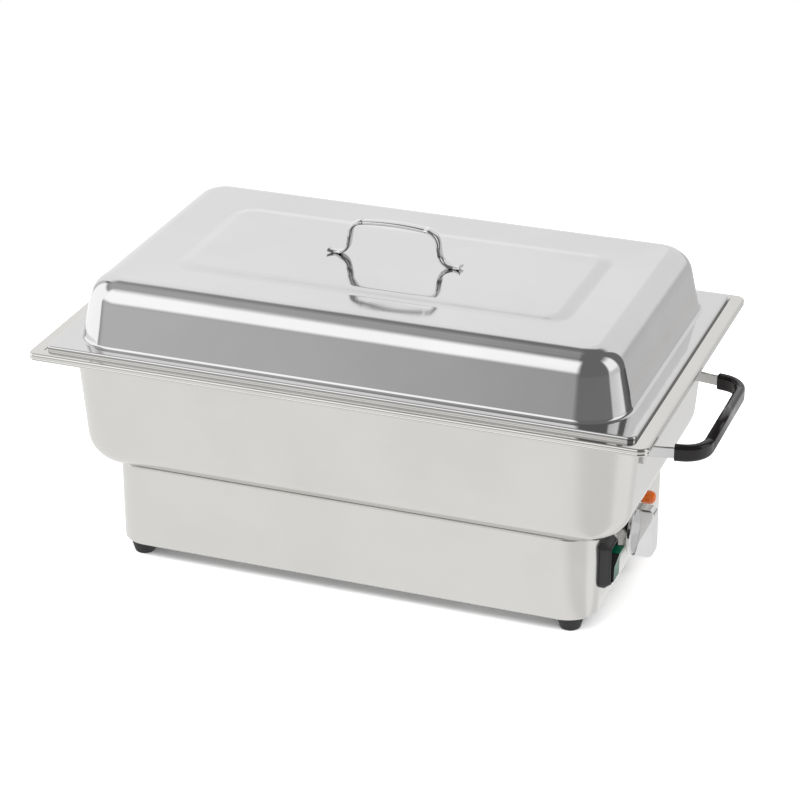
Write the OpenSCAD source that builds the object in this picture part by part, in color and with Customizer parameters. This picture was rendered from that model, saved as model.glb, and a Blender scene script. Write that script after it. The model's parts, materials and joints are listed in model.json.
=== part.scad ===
// Electric chafing dish: a deep-drawn water pan fixed on a heated stainless base,
// an insert pan for the food, and a lift-off domed lid.
// The dish stands on z = 0, its origin is under its middle, +X is the end with the controls
// and the front is towards -Y. All sizes are in millimetres.

/* [Feet and base housing] */
// Height of the rubber feet
foot_height = 14; // [8:1:25]
// Diameter of a foot where it meets the base
foot_top_d = 26; // [22:1:32]
// Diameter of a foot on the table
foot_tip_d = 20; // [16:1:24]
// Distance of a foot's centre from the end of the housing
foot_inset_x = 23; // [21:1:40]
// Distance of a foot's centre from the front or rear of the housing
foot_inset_y = 18; // [17:1:30]
// Length of the base housing
housing_length = 474; // [450:1:500]
// Depth of the base housing, front to rear
housing_depth = 266; // [250:1:280]
// Height of the base housing
housing_height = 84; // [78:1:100]
// Outside radius of the housing's upright corners
housing_corner = 30; // [22:1:34]
// Thickness of the housing's sheet
housing_sheet = 1; // [0.8:0.1:1.5]
// Width of the flange that the housing turns in under the pan
top_flange = 26; // [22:1:32]
// Width of the flange that the housing turns in at its lower edge
low_flange = 38; // [38:1:50]

/* [Water pan] */
// Length of the water pan's rim
rim_length = 591; // [575:1:620]
// Depth of the water pan's rim, front to rear
rim_depth = 359; // [350:1:380]
// Outside radius of the rim's corners
rim_corner = 9; // [6:1:14]
// Height of the lip that the rim turns down
rim_lip = 9; // [6:1:14]
// Radius along the rim's upper edge
rim_round = 2.5; // [1.5:0.5:4]
// Thickness of the water pan's sheet
pan_sheet = 1; // [0.8:0.1:1.2]
// Length of the drawn well at the rim
well_length = 549; // [530:1:556]
// Depth of the drawn well at the rim, front to rear
well_depth = 322; // [315:1:328]
// Height of the water pan from its rim to its underside
well_height = 124.5; // [110:0.5:140]
// Radius of the well's upright corners
well_corner = 53; // [50:1:60]
// Radius where the well's wall turns into its floor
well_floor_round = 30; // [20:1:34]
// Slope of the well's wall in degrees
well_draft = 4.6; // [2:0.1:5]
// Radius at the well's mouth, on the outside of the sheet
well_mouth_round = 2; // [1:0.5:3]

/* [Insert pan] */
// Thickness of the insert pan's sheet
insert_sheet = 0.8; // [0.6:0.1:1]
// Length of the insert pan's well at its rim
insert_well_length = 522; // [500:1:530]
// Depth of the insert pan's well at its rim, front to rear
insert_well_depth = 297; // [285:1:303]
// Height of the insert pan below the rim
insert_height = 65; // [40:1:90]
// Radius of the insert pan's upright corners
insert_corner = 42; // [36:1:50]
// Radius where the insert pan's wall turns into its floor
insert_floor_round = 14; // [10:1:20]
// Slope of the insert pan's wall in degrees
insert_draft = 3; // [2:0.5:5]
// Outside radius of the insert pan's rim corners
insert_rim_corner = 10; // [6:1:16]

/* [Lid] */
// Length of the lid's flange
lid_length = 563; // [550:1:572]
// Depth of the lid's flange, front to rear
lid_depth = 335.6; // [330:0.1:342]
// Outside radius of the lid's flange corners
lid_corner = 7; // [5:1:12]
// Height of the lip that the flange turns down
lid_lip = 4.4; // [3.5:0.1:8]
// Radius along the flange's upper edge
lid_edge_round = 1.5; // [1:0.1:2.5]
// Thickness of the lid's sheet
lid_sheet = 0.8; // [0.6:0.1:1]
// Width of the flat flange at the dome's ends
lid_flange = 16.5; // [14:0.5:20]
// Width of the flat flange along the dome's front and rear
lid_side_flange = 11.5; // [10:0.5:16]
// Height of the dome above the flange
dome_height = 58.8; // [50:0.2:68]
// Radius of the dome's upright corners at the flange
dome_corner = 44; // [40:1:54]
// Radius where the dome's wall turns into its top
dome_round = 25.5; // [18:0.5:28]
// Slope of the dome's wall in degrees
dome_draft = 12; // [6:0.5:13]
// Radius where the dome's wall meets the flange
dome_foot_round = 4; // [2:0.5:6]
// Length of the raised panel on the lid's top
panel_length = 388; // [340:1:400]
// Depth of the raised panel, front to rear
panel_depth = 172; // [140:1:190]
// Height of the raised panel
panel_rise = 1.2; // [0.6:0.1:2]
// Width of the slope along the panel's edge
panel_slope = 9; // [5:1:14]
// Corner radius of the raised panel
panel_corner = 26; // [14:1:40]

/* [Lid handle] */
// Distance between the tips of the handle's feet
grip_length = 133; // [120:1:160]
// Height of the handle's top above the lid
grip_height = 38.5; // [32:0.5:50]
// Width of the handle's strap
grip_width = 8.5; // [7:0.5:12]
// Thickness of the handle's strap
grip_thick = 3; // [2.5:0.5:4]
// Length of each foot on the lid
grip_foot = 10; // [8:0.5:16]
// Radius of the bend above each foot
grip_low_bend = 11.5; // [9:0.5:14]
// Radius of the bend below the top bar
grip_high_bend = 12.5; // [9:0.5:16]
// Lean of the handle's legs in degrees from the lid
grip_lean = 81; // [68:1:84]
// Slope of the arched top bar's ends in degrees
bar_slope = 7; // [2:1:10]

/* [End handles] */
// Height of an end handle's middle above the housing's lower edge
handle_level = 161.5; // [150:0.5:175]
// Reach of the bar's middle from the dish's middle
handle_reach = 322.5; // [312:0.5:340]
// Length of the bar's straight middle
handle_bar = 112.8; // [80:0.2:130]
// Radius of the bar's bends
handle_bend = 24; // [16:1:30]
// Angle by which each arm spreads towards the pan
handle_spread = 9.5; // [0:0.5:14]
// Height of the steel strip
strip_height = 10; // [8:0.5:12]
// Thickness of the steel strip
strip_thick = 3; // [2:0.5:4]
// Height of the plastic grip
sleeve_height = 15.2; // [13.5:0.1:18]
// Thickness of the plastic grip
sleeve_thick = 6.6; // [5.5:0.1:9]
// Length of each arm that the grip covers
sleeve_arm = 7; // [4:0.5:12]
// Length of the tab that is welded to the pan
tab_length = 18; // [12:1:22]

/* [Controls] */
// Height of the thermostat's axis above the housing's lower edge
knob_level = 37; // [34:0.5:44]
// Distance of the thermostat's axis behind the dish's middle
knob_offset = -5; // [-15:0.5:10]
// Radius of the knob's skirt
skirt_r = 26; // [22:0.5:28]
// Thickness of the knob's skirt
skirt_thick = 4; // [3:0.5:6]
// Reach of the knob's grip from the housing
knob_reach = 26; // [22:0.5:32]
// Width of the knob's bar grip
knob_grip = 13; // [10:0.5:16]
// Radius of the thermostat's shaft
shaft_r = 3; // [2.5:0.1:4]
// Distance of the switch's middle in front of the dish's middle
rocker_offset = 90; // [82:1:92]
// Height of the switch's middle above the housing's lower edge
rocker_level = 46; // [40:1:52]
// Width of the switch's frame
frame_width = 30; // [29:1:33]
// Height of the switch's frame
frame_height = 46; // [42:1:50]
// Reach of the switch's frame from the housing
frame_reach = 10; // [9:0.5:12]
// Width of the rocker
rocker_width = 19; // [15:0.5:20]
// Height of the rocker
rocker_height = 31; // [26:0.5:33]
// Angle of the rocker from upright, either way
rocker_tilt = 9; // [5:0.5:11]
// Distance of the lamp's middle behind the dish's middle
lamp_offset = 45; // [40:1:60]
// Height of the lamp's middle above the housing's lower edge
lamp_level = 46; // [40:1:54]
// Radius of the lamp's lens
lens_r = 7; // [5:0.5:9]
// Reach of the lamp's lens from the housing
lens_reach = 12; // [8:0.5:16]

/* [Heating] */
// Radius of the tubular heater
tube_r = 4; // [3:0.25:5]
// Spacing between the heater's runs
run_pitch = 52; // [44:1:60]
// Length of the heater's straight runs
run_length = 300; // [240:5:330]
// Radius of the weld studs
stud_r = 2.5; // [2:0.1:3]
// Length of the studs that carry the heater and its shield
long_stud = 34; // [30:1:38]
// Thickness of the heater's clamp bars
clamp_thick = 2; // [1.5:0.5:3]
// Width of the heater's clamp bars
clamp_width = 16; // [12:1:20]
// Distance between the two clamp bars
clamp_pitch = 220; // [160:5:240]
// Distance between the heater's studs and the housing's top flange
stud_clearance = 9; // [5:1:14]

/* [Hidden] */
$fn = 64;

// Clearance between pieces that only lie beside each other
slack = 0.3;
// Radial clearance of a screw or stud in its hole
hole_slack = 0.3;
// Radial clearance of a nut on its thread
thread_slack = 0.05;
// Radial clearance of a shaft or pin that turns
run_slack = 0.05;
// Small length that lets one cut pass through another's face
cut = 0.5;
// Small length by which a straight piece runs into the bend that it meets
lap = 0.4;
// Small depth by which a round at a mouth runs into the wall that it meets
bite = 0.02;

// Levels
housing_z = foot_height;
pan_floor_z = housing_z + housing_height;
rim_z = pan_floor_z + well_height;
lid_seat_z = rim_z;
lid_flange_z = lid_seat_z + lid_lip;
dome_z = lid_flange_z + dome_height;
handle_z = housing_z + handle_level;
plate_z = housing_z + housing_sheet;

// Housing
end_x = housing_length / 2;
front_y = housing_depth / 2;
foot_x = end_x - foot_inset_x;
foot_y = front_y - foot_inset_y;
plate_thick = 1;
plate_gap = 0.5;
vent_length = 60;
vent_width = 4;
vent_pitch = 14;
vent_count = 6;
vent_shift = 60;
vent_row = 36;

// Fasteners
foot_screw_r = 2;
foot_screw_head_r = 4;
foot_screw_head = 2.5;
earth_head_r = 3.5;
earth_head = 1.5;
nut_factor = 1.75;
nut_height = 4;
foot_nut_height = 3;
plate_screw_r = 1.5;
plate_screw_head_r = 3;
plate_screw_head = 1.8;
plate_screw_length = 8;
plate_screw_x = 120;
plate_screw_y = front_y - low_flange / 2;
foot_edge = 1.5;
foot_recess = 6;
foot_screw_length = foot_height - foot_recess + 8;
housing_stud = 12;
housing_stud_x = 160;
housing_stud_y = front_y - top_flange + 9;

// Insert pan: its rim fits inside the lid's lip
insert_rim_length = lid_length - 2 * lid_sheet - 2;
insert_rim_depth = lid_depth - 2 * lid_sheet - 2;

// Lid: the dome's foot and the panel on its top
dome_length = lid_length - 2 * lid_flange;
dome_depth = lid_depth - 2 * lid_side_flange;

// Lid handle, worked out along its middle line
grip_tip = grip_length / 2;
grip_foot_in = grip_tip - grip_foot;
grip_mid_low = grip_thick / 2;
grip_mid_top = grip_height - grip_thick / 2;
leg_low_x = grip_foot_in - grip_low_bend * sin(grip_lean);
leg_low_z = grip_mid_low + grip_low_bend * (1 - cos(grip_lean));
leg_slant = 1 / tan(grip_lean);
corner_reach = grip_high_bend * (sin(grip_lean) - sin(bar_slope));
corner_rise = grip_high_bend * (cos(bar_slope) - cos(grip_lean));
// The arched bar rises by this share of its half length
arch_share = tan(bar_slope / 2);
// Where the legs end, so that corner and arch together reach the handle's top
arch_base = leg_low_x + leg_slant * leg_low_z - corner_reach;
leg_high_z = (grip_mid_top - corner_rise - arch_share * arch_base) / (1 - arch_share * leg_slant);
leg_high_x = leg_low_x - leg_slant * (leg_high_z - leg_low_z);
leg_run = (leg_high_z - leg_low_z) / sin(grip_lean);
bar_half = leg_high_x - corner_reach;
bar_bend = bar_half / sin(bar_slope);
// Angle by which the arched bar runs into the corners
bar_lap = 180 / PI * lap / bar_bend;
foot_waist_x = grip_foot_in + 0.3 * grip_foot;
foot_waist = 0.65 * grip_width;
fishtail = grip_width + 2;
fishtail_notch = 2.5;

// End handles
bend_turn = 90 - handle_spread;
sleeve_collar = 0.3;
bend_x = handle_reach - handle_bend;
bend_y = handle_bar / 2;
bend_end_x = bend_x + handle_bend * cos(bend_turn);
bend_end_y = bend_y + handle_bend * sin(bend_turn);
// The pan's wall where the handle's tab lies on it
wall_drop = rim_z - handle_z;
wall_x = well_length / 2 - wall_drop * tan(well_draft);
arm_end_y = bend_end_y + (bend_end_x - wall_x) * tan(handle_spread);
arm_length = (bend_end_x - wall_x - strip_thick / 2) / cos(handle_spread);

// Controls
knob_z = housing_z + knob_level;
switch_z = housing_z + rocker_level;
lamp_z = housing_z + lamp_level;
wall_in_x = end_x - housing_sheet;
bush_r = 5;
bush_reach = 3;
thermostat_side = 36;
thermostat_depth = 22;
thermostat_plate = 1.5;
thermostat_screw_r = 1.5;
thermostat_screw_pitch = 28;
thermostat_screw_length = 8;
thermostat_screw_head_r = 2.6;
thermostat_screw_head = 1.2;
thermostat_box = 24;
shaft_pocket = 14;
blade_length = 8;
blade_thick = 0.8;
blade_pitch = 10;
shaft_end_x = end_x + 18;
skirt_x = end_x + bush_reach + 1;
knob_top_x = end_x + knob_reach;
rocker_axis_x = end_x + frame_reach - 3.5;
rocker_pin_r = 1.5;
pin_reach = 2;
rocker_tip = 8;
rocker_middle = 6;
rocker_back = 3;
pocket_half = norm([rocker_tip, rocker_height / 2]) + slack;
pocket_floor = rocker_axis_x - end_x - rocker_back * cos(rocker_tilt)
    - (rocker_height / 2 - rocker_back) * sin(rocker_tilt) - slack;
frame_corner = 6;
frame_step = 2.5;
bar_round = 5;
bar_setback = 1;
hub_r = 7;
rim_groove = 1.2;
groove_width = 1.2;
groove_depth = 1;
skirt_wall = 2;
skirt_hollow = 2;
lens_flange = 2;
lens_facets = 10;
lens_dome = lens_r;
rocker_box_width = 21;
rocker_box_height = 33;
rocker_box_depth = 24;
lamp_hole_r = 5;
lamp_body_depth = 16;

// Heater, hung under the pan's floor
tube_z = pan_floor_z - slack - tube_r;
clamp_span = 2 * (front_y - top_flange - stud_clearance);
clamp_z = tube_z - tube_r - slack / 2 - clamp_thick;
clamp_nut_z = clamp_z - nut_height;
shield_thick = 0.8;
shield_z = pan_floor_z - long_stud + nut_height + 1;
shield_length = 320;
shield_depth = clamp_span + 20;
shield_fold = 8;
run_count = 4;
lead_length = 30;
pin_length = 10;
pin_r = 1.5;
spacer_r = 4.5;

// Sensor, cut-out, inlet and terminals
bulb_r = 3;
bulb_length = 90;
capillary_r = 1;
bulb_z = pan_floor_z - slack - bulb_r;
capillary_bend_r = 6;
capillary_lead = 12;
capillary_clear = 16;
capillary_in_z = knob_z + 4;
cutout_x = 80;
cutout_r = 9;
cutout_height = 9;
cutout_ear = 4;
gland_x = 150;
gland_z = housing_z + 34;
gland_r = 8;
gland_neck = 2 * gland_r + 1;
gland_flange_r = 14;
gland_flange = 2;
gland_hex_r = 12;
gland_cap_r = 10;
gland_bore_r = 4;
gland_tip_r = gland_bore_r + 2.5;
gland_reach = 16;
gland_inside = 12;
block_x = 120;
block_y = 80;
block_length = 36;
block_width = 22;
block_height = 16;
pole_pitch = 11;
pole_r = 2.4;
pole_depth = 9;
pole_screw = 6;
pole_wire_z = 5;
pole_wire_r = 2;
earth_x = 165;
earth_y = 70;
earth_r = 2;
earth_length = 12;
gland_collar = 6;

steel = "silver";
satin = "lightgray";
dark = "dimgray";

// A rectangle with round corners
module round_rect(length, depth, corner) {
    square([length - 2 * corner, depth], center = true);
    square([length, depth - 2 * corner], center = true);
    for (x = [-1, 1])
        for (y = [-1, 1])
            translate([x * (length / 2 - corner), y * (depth / 2 - corner)])
                circle(corner);
}

// A slot with round ends along y
module slot(width, length) {
    square([width, length - width], center = true);
    for (end = [-1, 1])
        translate([0, end * (length - width) / 2])
            circle(width / 2);
}

// Carries a profile round a rectangle of corner centres. The profile's x runs outwards from
// a corner centre and its y runs upwards.
module carry_round(span_x, span_y) {
    for (side = [0, 1])
        rotate([0, 0, 180 * side]) {
            translate([span_x / 2, span_y / 2, 0])
                rotate_extrude(angle = 90)
                    children();
            translate([-span_x / 2, span_y / 2, 0])
                rotate([0, 0, 90])
                    rotate_extrude(angle = 90)
                        children();
            translate([span_x / 2, span_y / 2, 0])
                rotate([90, 0, 0])
                    linear_extrude(span_y)
                        children();
            translate([-span_x / 2, span_y / 2, 0])
                rotate([90, 0, 90])
                    linear_extrude(span_x)
                        children();
        }
}

// Centre of the round between a well's sloping wall and its floor
function floor_centre(corner, height, draft, round) =
    [corner - (round + (height - round) * sin(draft)) / cos(draft), round - height];

// Half of a well's section: the wall slopes in as it goes down from y = 0
module well_profile(corner, height, draft, round) {
    centre = floor_centre(corner, height, draft, round);
    touch = centre + round * [cos(draft), -sin(draft)];
    polygon([[0, 0], [corner, 0], touch, centre, [centre.x, -height], [0, -height]]);
    intersection() {
        translate(centre)
            circle(round);
        translate([centre.x, -height])
            square([round, round + cut]);
    }
}

// The solid that fills a drawn well with round corners, hanging from z = 0
module well(length, depth, corner, height, draft, round) {
    span_x = length - 2 * corner;
    span_y = depth - 2 * corner;
    carry_round(span_x, span_y)
        well_profile(corner, height, draft, round);
    translate([-span_x / 2, -span_y / 2, -height])
        cube([span_x, span_y, height]);
}

// The hollow inside a well of the same shape whose sheet has one thickness
module well_hollow(length, depth, corner, height, draft, round, sheet) {
    well(length - 2 * sheet, depth - 2 * sheet, corner - sheet, height - sheet, draft, round - sheet);
}

// The round between a flange's face at z = 0 and the wall of a well that hangs from it
module mouth_round(length, depth, corner, draft, round) {
    centre_x = corner + round * (1 - sin(draft)) / cos(draft) - bite;
    touch = [centre_x - round * cos(draft), -round + round * sin(draft)];
    carry_round(length - 2 * corner, depth - 2 * corner)
        difference() {
            polygon([[corner - cut, cut], [centre_x, cut], [centre_x, -round], touch, touch - [cut, 0]]);
            translate([centre_x, -round])
                circle(round);
        }
}

// The solid that fills a drawn cap, standing on z = 0
module cap(length, depth, corner, height, draft, round) {
    mirror([0, 0, 1])
        well(length, depth, corner, height, draft, round);
}

// A flange with a lip turned down round it, its upper face at z = 0
module lipped_flange(length, depth, corner, lip, round, sheet) {
    difference() {
        translate([0, 0, -lip])
            cap(length, depth, corner, lip, 0, round);
        translate([0, 0, -lip - cut])
            cap(length - 2 * sheet, depth - 2 * sheet, corner - sheet, lip + cut - sheet, 0,
                max(round - sheet, 0.2));
    }
}

// The wall and floor of a drawn well with the round under its flange, still solid inside
module well_walls(length, depth, corner, height, draft, floor_round, mouth, sheet) {
    inset = sheet * tan(draft);
    well(length, depth, corner, height, draft, floor_round);
    translate([0, 0, -sheet])
        mouth_round(length - 2 * inset, depth - 2 * inset, corner - inset, draft, mouth);
}

// What is taken out of those walls to leave one thickness of sheet
module well_cut(length, depth, corner, height, draft, floor_round, mouth, sheet) {
    well_hollow(length, depth, corner, height, draft, floor_round, sheet);
    mouth_round(length - 2 * sheet, depth - 2 * sheet, corner - sheet, draft, mouth + sheet);
    translate([0, 0, -cut])
        linear_extrude(2 * cut)
            round_rect(length - 4 * sheet, depth - 4 * sheet, corner - 2 * sheet);
}

// A raised panel with sloping edges, its base at z = 0
module raised_panel(length, depth, corner, rise, slope) {
    span_x = length - 2 * corner;
    span_y = depth - 2 * corner;
    carry_round(span_x, span_y)
        polygon([[0, -cut], [corner, -cut], [corner, 0], [corner - slope, rise], [0, rise]]);
    translate([-span_x / 2, -span_y / 2, -cut])
        cube([span_x, span_y, rise + cut]);
}

// A screw with a domed head under z = 0 and its shank upwards
module screw_up(radius, length, head_r, head) {
    translate([0, 0, -cut])
        cylinder(length + cut, r = radius);
    rotate_extrude()
        intersection() {
            translate([0, head_r - head])
                circle(head_r);
            translate([0, -head])
                square([head_r, head]);
        }
}

// A hexagon nut standing on z = 0
module nut(radius, height) {
    difference() {
        cylinder(height, r = radius * nut_factor, $fn = 6);
        translate([0, 0, -cut])
            cylinder(height + 2 * cut, r = radius + thread_slack);
    }
}

// Copies what it is given to the four places at plus and minus x and y
module at_corners(x, y) {
    for (i = [-1, 1])
        for (j = [-1, 1])
            translate([i * x, j * y, 0])
                children();
}

// The opening in the end wall for the switch's body
module switch_hole() {
    translate([end_x, -rocker_offset, switch_z])
        cube([4 * housing_sheet, rocker_box_width + 2 * hole_slack, rocker_box_height + 2 * hole_slack],
             center = true);
}

// A round hole through the end wall
module end_hole(y, z, radius) {
    translate([end_x - 2 * housing_sheet, y, z])
        rotate([0, 90, 0])
            cylinder(4 * housing_sheet, r = radius);
}

module base_housing() {
    color(steel)
        difference() {
            translate([0, 0, housing_z])
                linear_extrude(housing_height)
                    round_rect(housing_length, housing_depth, housing_corner);
            translate([0, 0, housing_z + housing_sheet])
                linear_extrude(housing_height - 2 * housing_sheet)
                    round_rect(housing_length - 2 * housing_sheet, housing_depth - 2 * housing_sheet,
                               housing_corner - housing_sheet);
            translate([0, 0, pan_floor_z - 2 * housing_sheet])
                linear_extrude(4 * housing_sheet)
                    round_rect(housing_length - 2 * top_flange, housing_depth - 2 * top_flange,
                               housing_sheet * 8);
            translate([0, 0, housing_z - housing_sheet])
                linear_extrude(4 * housing_sheet)
                    round_rect(housing_length - 2 * low_flange, housing_depth - 2 * low_flange,
                               housing_sheet * 8);
            switch_hole();
            end_hole(knob_offset, knob_z, bush_r + hole_slack);
            for (side = [-1, 1])
                end_hole(knob_offset, knob_z + side * thermostat_screw_pitch / 2,
                         thermostat_screw_r + hole_slack);
            end_hole(lamp_offset, lamp_z, lamp_hole_r + hole_slack);
            translate([gland_x, front_y, gland_z])
                cube([gland_neck + 2 * hole_slack, 4 * housing_sheet, gland_neck + 2 * hole_slack],
                     center = true);
            translate([0, 0, housing_z - housing_sheet]) {
                at_corners(foot_x, foot_y)
                    cylinder(4 * housing_sheet, r = foot_screw_r + hole_slack);
                at_corners(plate_screw_x, plate_screw_y)
                    cylinder(4 * housing_sheet, r = plate_screw_r + hole_slack);
            }
            translate([0, 0, pan_floor_z - 2 * housing_sheet])
                at_corners(housing_stud_x, housing_stud_y)
                    cylinder(4 * housing_sheet, r = stud_r + hole_slack);
        }
}

module bottom_plate() {
    length = housing_length - 2 * housing_sheet - 2 * plate_gap;
    depth = housing_depth - 2 * housing_sheet - 2 * plate_gap;
    color(satin)
        translate([0, 0, plate_z])
            difference() {
                linear_extrude(plate_thick)
                    round_rect(length, depth, housing_corner - housing_sheet - plate_gap);
                for (row = [-1, 1])
                    for (i = [-vent_count : vent_count])
                        translate([i * vent_pitch - vent_shift, row * vent_row, -cut])
                            linear_extrude(plate_thick + 2 * cut)
                                slot(vent_width, vent_length);
                translate([0, 0, -cut]) {
                    at_corners(foot_x, foot_y)
                        cylinder(plate_thick + 2 * cut, r = foot_screw_r + hole_slack);
                    at_corners(plate_screw_x, plate_screw_y)
                        cylinder(plate_thick + 2 * cut, r = plate_screw_r + hole_slack);
                    translate([earth_x, earth_y, 0])
                        cylinder(plate_thick + 2 * cut, r = earth_r + hole_slack);
                }
            }
}

module plate_screws() {
    color(satin)
        translate([0, 0, housing_z])
            at_corners(plate_screw_x, plate_screw_y)
                screw_up(plate_screw_r, plate_screw_length, plate_screw_head_r, plate_screw_head);
}

// A rubber foot on z = 0 with a recess for its screw
module foot() {
    color("#222222")
        difference() {
            rotate_extrude()
                difference() {
                    polygon([[0, 0], [foot_tip_d / 2 - foot_edge, 0], [foot_tip_d / 2, foot_edge],
                             [foot_top_d / 2, foot_height - foot_edge], [foot_top_d / 2, foot_height],
                             [0, foot_height]]);
                    translate([-cut, -cut])
                        square([foot_screw_head_r + hole_slack + cut, foot_recess + cut]);
                }
            cylinder(foot_height + cut, r = foot_screw_r + hole_slack);
        }
}

module foot_at(x, y) {
    translate([x * foot_x, y * foot_y, 0])
        foot();
}

module foot_screws() {
    color(satin)
        translate([0, 0, foot_recess])
            at_corners(foot_x, foot_y)
                screw_up(foot_screw_r, foot_screw_length, foot_screw_head_r, foot_screw_head);
}

module foot_nuts() {
    color(satin)
        translate([0, 0, plate_z + plate_thick])
            at_corners(foot_x, foot_y)
                nut(foot_screw_r, foot_nut_height);
}

module water_pan() {
    color(steel)
        translate([0, 0, rim_z])
            difference() {
                union() {
                    lipped_flange(rim_length, rim_depth, rim_corner, rim_lip, rim_round, pan_sheet);
                    well_walls(well_length, well_depth, well_corner, well_height, well_draft,
                               well_floor_round, well_mouth_round, pan_sheet);
                }
                well_cut(well_length, well_depth, well_corner, well_height, well_draft,
                         well_floor_round, well_mouth_round, pan_sheet);
            }
}

module housing_studs() {
    color(satin)
        translate([0, 0, pan_floor_z - housing_stud])
            at_corners(housing_stud_x, housing_stud_y)
                cylinder(housing_stud, r = stud_r);
}

module housing_nuts() {
    color(satin)
        translate([0, 0, pan_floor_z - housing_sheet - nut_height])
            at_corners(housing_stud_x, housing_stud_y)
                nut(stud_r, nut_height);
}

module heater_studs() {
    color(satin)
        translate([0, 0, pan_floor_z - long_stud])
            at_corners(clamp_pitch / 2, clamp_span / 2)
                cylinder(long_stud, r = stud_r);
}

// A straight piece of tube along +X
module tube_x(length, radius) {
    rotate([0, 90, 0])
        cylinder(length, r = radius);
}

// A bend of tube about z, from angle start through turn
module tube_bend(bend, radius, start, turn) {
    rotate([0, 0, start])
        rotate_extrude(angle = turn)
            translate([bend, 0])
                circle(radius);
}

module heating_element() {
    color(dark)
        translate([0, 0, tube_z]) {
            for (run = [0 : run_count - 1])
                translate([-run_length / 2, (run - (run_count - 1) / 2) * run_pitch, 0])
                    tube_x(run_length, tube_r);
            for (gap = [0 : run_count - 2]) {
                side = gap % 2 == 0 ? -1 : 1;
                translate([side * run_length / 2, (gap + 1 - run_count / 2) * run_pitch, 0])
                    tube_bend(run_pitch / 2, tube_r, -90 * side, 180);
            }
            for (side = [-1, 1])
                translate([run_length / 2, side * (run_count - 1) / 2 * run_pitch, 0]) {
                    tube_x(lead_length, tube_r);
                    tube_x(lead_length + pin_length, pin_r);
                }
        }
}

module clamp_bars() {
    color(satin)
        for (side = [-1, 1])
            translate([side * clamp_pitch / 2, 0, clamp_z])
                difference() {
                    linear_extrude(clamp_thick)
                        slot(clamp_width, clamp_span + clamp_width);
                    for (end = [-1, 1])
                        translate([0, end * clamp_span / 2, -cut])
                            cylinder(clamp_thick + 2 * cut, r = stud_r + hole_slack);
                }
}

module clamp_nuts() {
    color(satin)
        translate([0, 0, clamp_nut_z])
            at_corners(clamp_pitch / 2, clamp_span / 2)
                nut(stud_r, nut_height);
}

module shield_spacers() {
    length = clamp_nut_z - shield_z - shield_thick;
    color(satin)
        translate([0, 0, shield_z + shield_thick])
            at_corners(clamp_pitch / 2, clamp_span / 2)
                difference() {
                    cylinder(length, r = spacer_r);
                    translate([0, 0, -cut])
                        cylinder(length + 2 * cut, r = stud_r + hole_slack);
                }
}

module heat_shield() {
    color(satin)
        translate([0, 0, shield_z])
            difference() {
                translate([-shield_length / 2, -shield_depth / 2, 0])
                    cube([shield_length, shield_depth, shield_fold]);
                translate([-shield_length / 2 + shield_thick, -shield_depth / 2 - cut, shield_thick])
                    cube([shield_length - 2 * shield_thick, shield_depth + 2 * cut, shield_fold]);
                translate([0, 0, -cut])
                    at_corners(clamp_pitch / 2, clamp_span / 2)
                        cylinder(shield_thick + 2 * cut, r = stud_r + hole_slack);
            }
}

module shield_nuts() {
    color(satin)
        translate([0, 0, shield_z - nut_height])
            at_corners(clamp_pitch / 2, clamp_span / 2)
                nut(stud_r, nut_height);
}

// The thermostat behind the end wall: fixing plate, switch box and the bush round its shaft
module thermostat_body() {
    color(dark)
        translate([wall_in_x, knob_offset, knob_z])
            difference() {
                union() {
                    translate([-thermostat_plate, -thermostat_side / 2, -thermostat_side / 2])
                        cube([thermostat_plate, thermostat_side, thermostat_side]);
                    translate([-thermostat_plate - thermostat_depth, -thermostat_box / 2, -thermostat_box / 2])
                        cube([thermostat_depth, thermostat_box, thermostat_box]);
                    tube_x(housing_sheet + bush_reach, bush_r);
                    for (side = [-1, 1])
                        translate([-thermostat_plate - thermostat_depth - blade_length, side * blade_pitch / 2,
                                   -blade_pitch / 2])
                            cube([blade_length + cut, blade_thick, blade_pitch]);
                }
                translate([-shaft_pocket, 0, 0])
                    tube_x(shaft_pocket + housing_sheet + bush_reach + cut, shaft_r + run_slack);
                for (side = [-1, 1])
                    translate([-thermostat_plate - cut, 0, side * thermostat_screw_pitch / 2])
                        tube_x(thermostat_plate + 2 * cut, thermostat_screw_r + thread_slack);
            }
}

module thermostat_screws() {
    color(satin)
        for (side = [-1, 1])
            translate([end_x, knob_offset, knob_z + side * thermostat_screw_pitch / 2])
                rotate([0, -90, 0])
                    screw_up(thermostat_screw_r, thermostat_screw_length, thermostat_screw_head_r,
                             thermostat_screw_head);
}

module thermostat_shaft() {
    start = wall_in_x - shaft_pocket + 1;
    color(satin)
        translate([start, knob_offset, knob_z])
            tube_x(shaft_end_x - start, shaft_r);
}

module sensor_bulb() {
    color("peru")
        translate([-bulb_length / 2, knob_offset, bulb_z])
            tube_x(bulb_length, bulb_r);
}

// A quarter bend of the capillary about a centre in its own plane
module capillary_bend(centre_x, centre_z, start) {
    translate([centre_x, 0, centre_z])
        rotate([90, 0, 0])
            tube_bend(capillary_bend_r, capillary_r, start, 90);
}

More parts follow.
